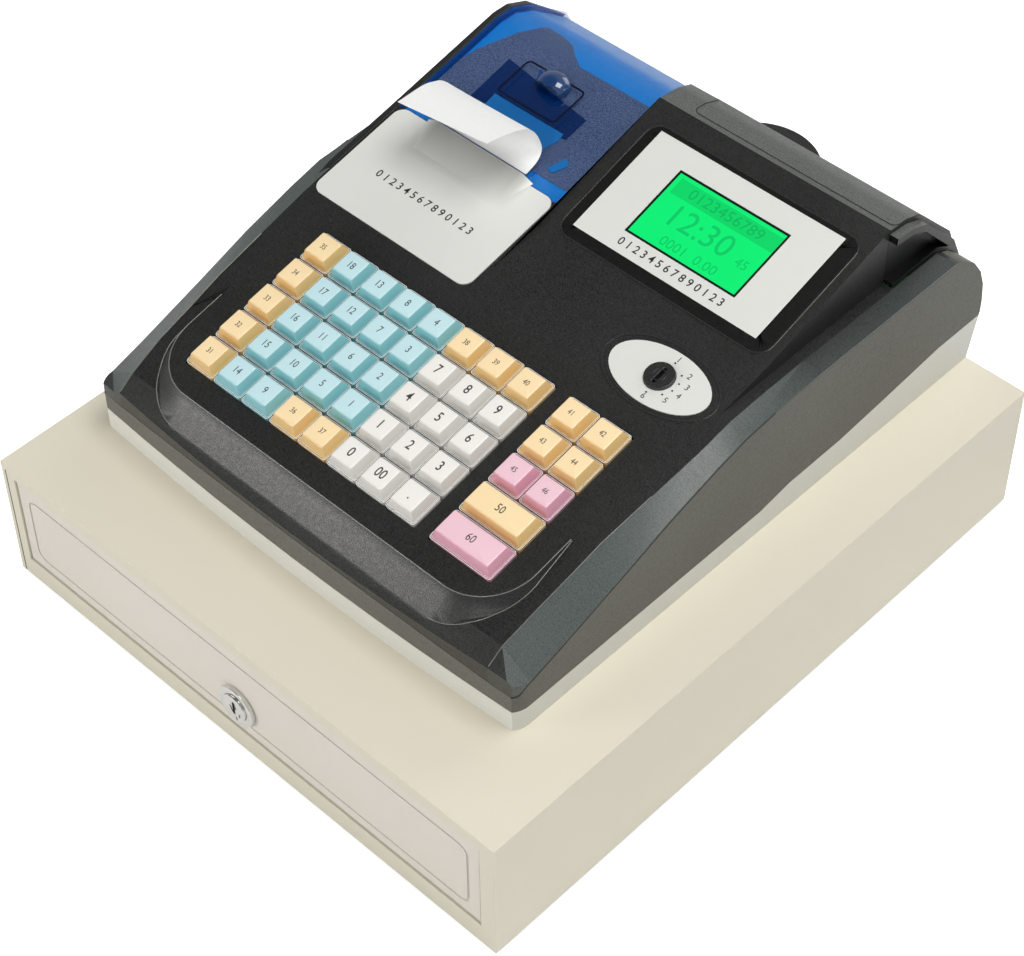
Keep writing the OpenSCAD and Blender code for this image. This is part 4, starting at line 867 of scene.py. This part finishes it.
# Lock: keyhole and a small mark on the plug, each by its place, width, height and turn
plug = {"x": -1, "y": -3.3, "z": 31.7, "keyhole": (-0.4, 0.6, 1.0, 4.4, 24),
        "plugMark": (2.6, -4.6, 0.8, 2.2, 8)}
plugFrame = tilted(plug["x"], plug["y"], plug["z"], 90)
for name in ("keyhole", "plugMark"):
    x, y, width, height, turn = plug[name]
    place = plugFrame @ Matrix.Translation((x, y, 0)) @ Matrix.Rotation(math.radians(turn), 4, "Z")
    finishPiece(thick(box(-width / 2, -height / 2, width / 2, height / 2, 0.3), 0.0, 0.05), name,
                bodyOf["lock_plug"], [extraFinishes["black"]], place)

# Shade in the gap round the drawer's front, in its pressed line and in the left panel's seam:
# each outline, the band left along it, its depth behind the frame, its body and its finish
frontLines = {"drawerGap": ((-156, 13, 156, 70.5), 0.6, 1.5, "cabinet", "gapShade"),
              "pressedLine": ((-148.1, 20.4, 148.1, 62.1, 5.6), 0.4, 1.22, "drawer", "groovePaint"),
              "sideSeam": ((-162.3, 0.5, -161.5, 73.5), 0.0, 0.0, "cabinet", "gapShade")}
for name, (outline, width, depth, body, finishName) in frontLines.items():
    line = ring(box(*outline), width) if width else box(*outline)
    finishPiece(thick(line, -depth, 0.04), name, body, [extraFinishes[finishName]], tilted(0, 0, 0, 90))
print("small marks made")


# Floor, light and camera

def floorFinish():
    finish = Finish("floorWhite", rough=0.7, specular=0.2, glowStrength=1.0)
    cloud = finish.noise(3, 2)
    finish.feed("colour", finish.mix(cloud, paint(250, 250, 250), paint(246, 246, 246)))
    glow = finish.node("ShaderNodeLightPath", output="Is Camera Ray")
    finish.feed("glow", finish.mix(glow * 0.6, (0, 0, 0, 1), (1, 1, 1, 1)))
    return finish.material


bm = bmesh.new()
bmesh.ops.create_grid(bm, x_segments=1, y_segments=1, size=6)
floorMesh = bpy.data.meshes.new("floor")
bm.to_mesh(floorMesh)
bm.free()
floorMesh.materials.append(floorFinish())
placed("floor", floorMesh)

# The studio is bright round the horizon and dim above and behind, so that level dark plastic stays dark
sky = {"level": 0.42, "seen": 2.4, "dimTowards": (-0.45, -0.15, 0.88), "dimFrom": 0.7, "dimTo": 0.93,
       "dimLevel": 0.15}
world = bpy.data.worlds.new("studio")
bpy.context.scene.world = world
studio = Shading(world)
heading = studio.node("ShaderNodeTexCoord", output="Generated")
nearness = studio.node("ShaderNodeVectorMath", {0: heading, 1: sky["dimTowards"]}, output="Value",
                       operation="DOT_PRODUCT")
dimming = studio.span(nearness, sky["dimFrom"], sky["dimTo"], 1.0, sky["dimLevel"])
seen = studio.node("ShaderNodeLightPath", output="Is Camera Ray")
shade = studio.mix(dimming, (0, 0, 0, 1), (0.98, 0.99, 1, 1))
background = studio.tree.nodes["Background"]
studio.tree.links.new(studio.mix(seen, shade, (*[sky["seen"]] * 3, 1)).socket, background.inputs["Color"])
background.inputs["Strength"].default_value = sky["level"]

lamps = {"overhead": ((0.42, 0.15, 1.7), 0.8, 13.5, (1.0, 0.99, 0.97)),
         "front": ((-1.2, -1.9, 0.6), 0.8, 16.5, (1.0, 0.98, 0.96)),
         "frontRight": ((0.5, -1.5, 1.4), 0.3, 8, (1.0, 0.99, 0.97)),
         "rightSide": ((1.6, 0.6, 1.0), 0.3, 1.2, (0.97, 0.99, 1.0)),
         "behind": ((0.2, 1.9, 1.0), 1.2, 9, (1.0, 1.0, 1.0))}
for name, (place, size, power, colour) in lamps.items():
    lampData = bpy.data.lights.new(name, "AREA")
    lampData.size = size
    lampData.energy = power
    lampData.color = colour
    lamp = placed(name, lampData)
    lamp.location = place
    lamp.rotation_euler = (-Vector(place)).to_track_quat("-Z", "Y").to_euler()

view = {"place": (610.97, -446.08, 986.70), "azimuth": 44.161, "elevation": 47.069, "roll": -0.587,
        "lens": 91.62, "sensor": 36, "nearest": 0.05}
camera = placed("camera", bpy.data.cameras.new("camera"))
camera.data.sensor_width = view["sensor"]
camera.data.lens = view["lens"]
camera.data.clip_start = view["nearest"]
turn = (Matrix.Rotation(math.radians(view["azimuth"]), 4, "Z")
        @ Matrix.Rotation(math.radians(90 - view["elevation"]), 4, "X")
        @ Matrix.Rotation(math.radians(view["roll"]), 4, "Z"))
camera.matrix_world = Matrix.Translation(maker @ Vector(view["place"])) @ turn
bpy.context.scene.camera = camera
bpy.context.scene.view_settings.view_transform = "Standard"
print("stage made")
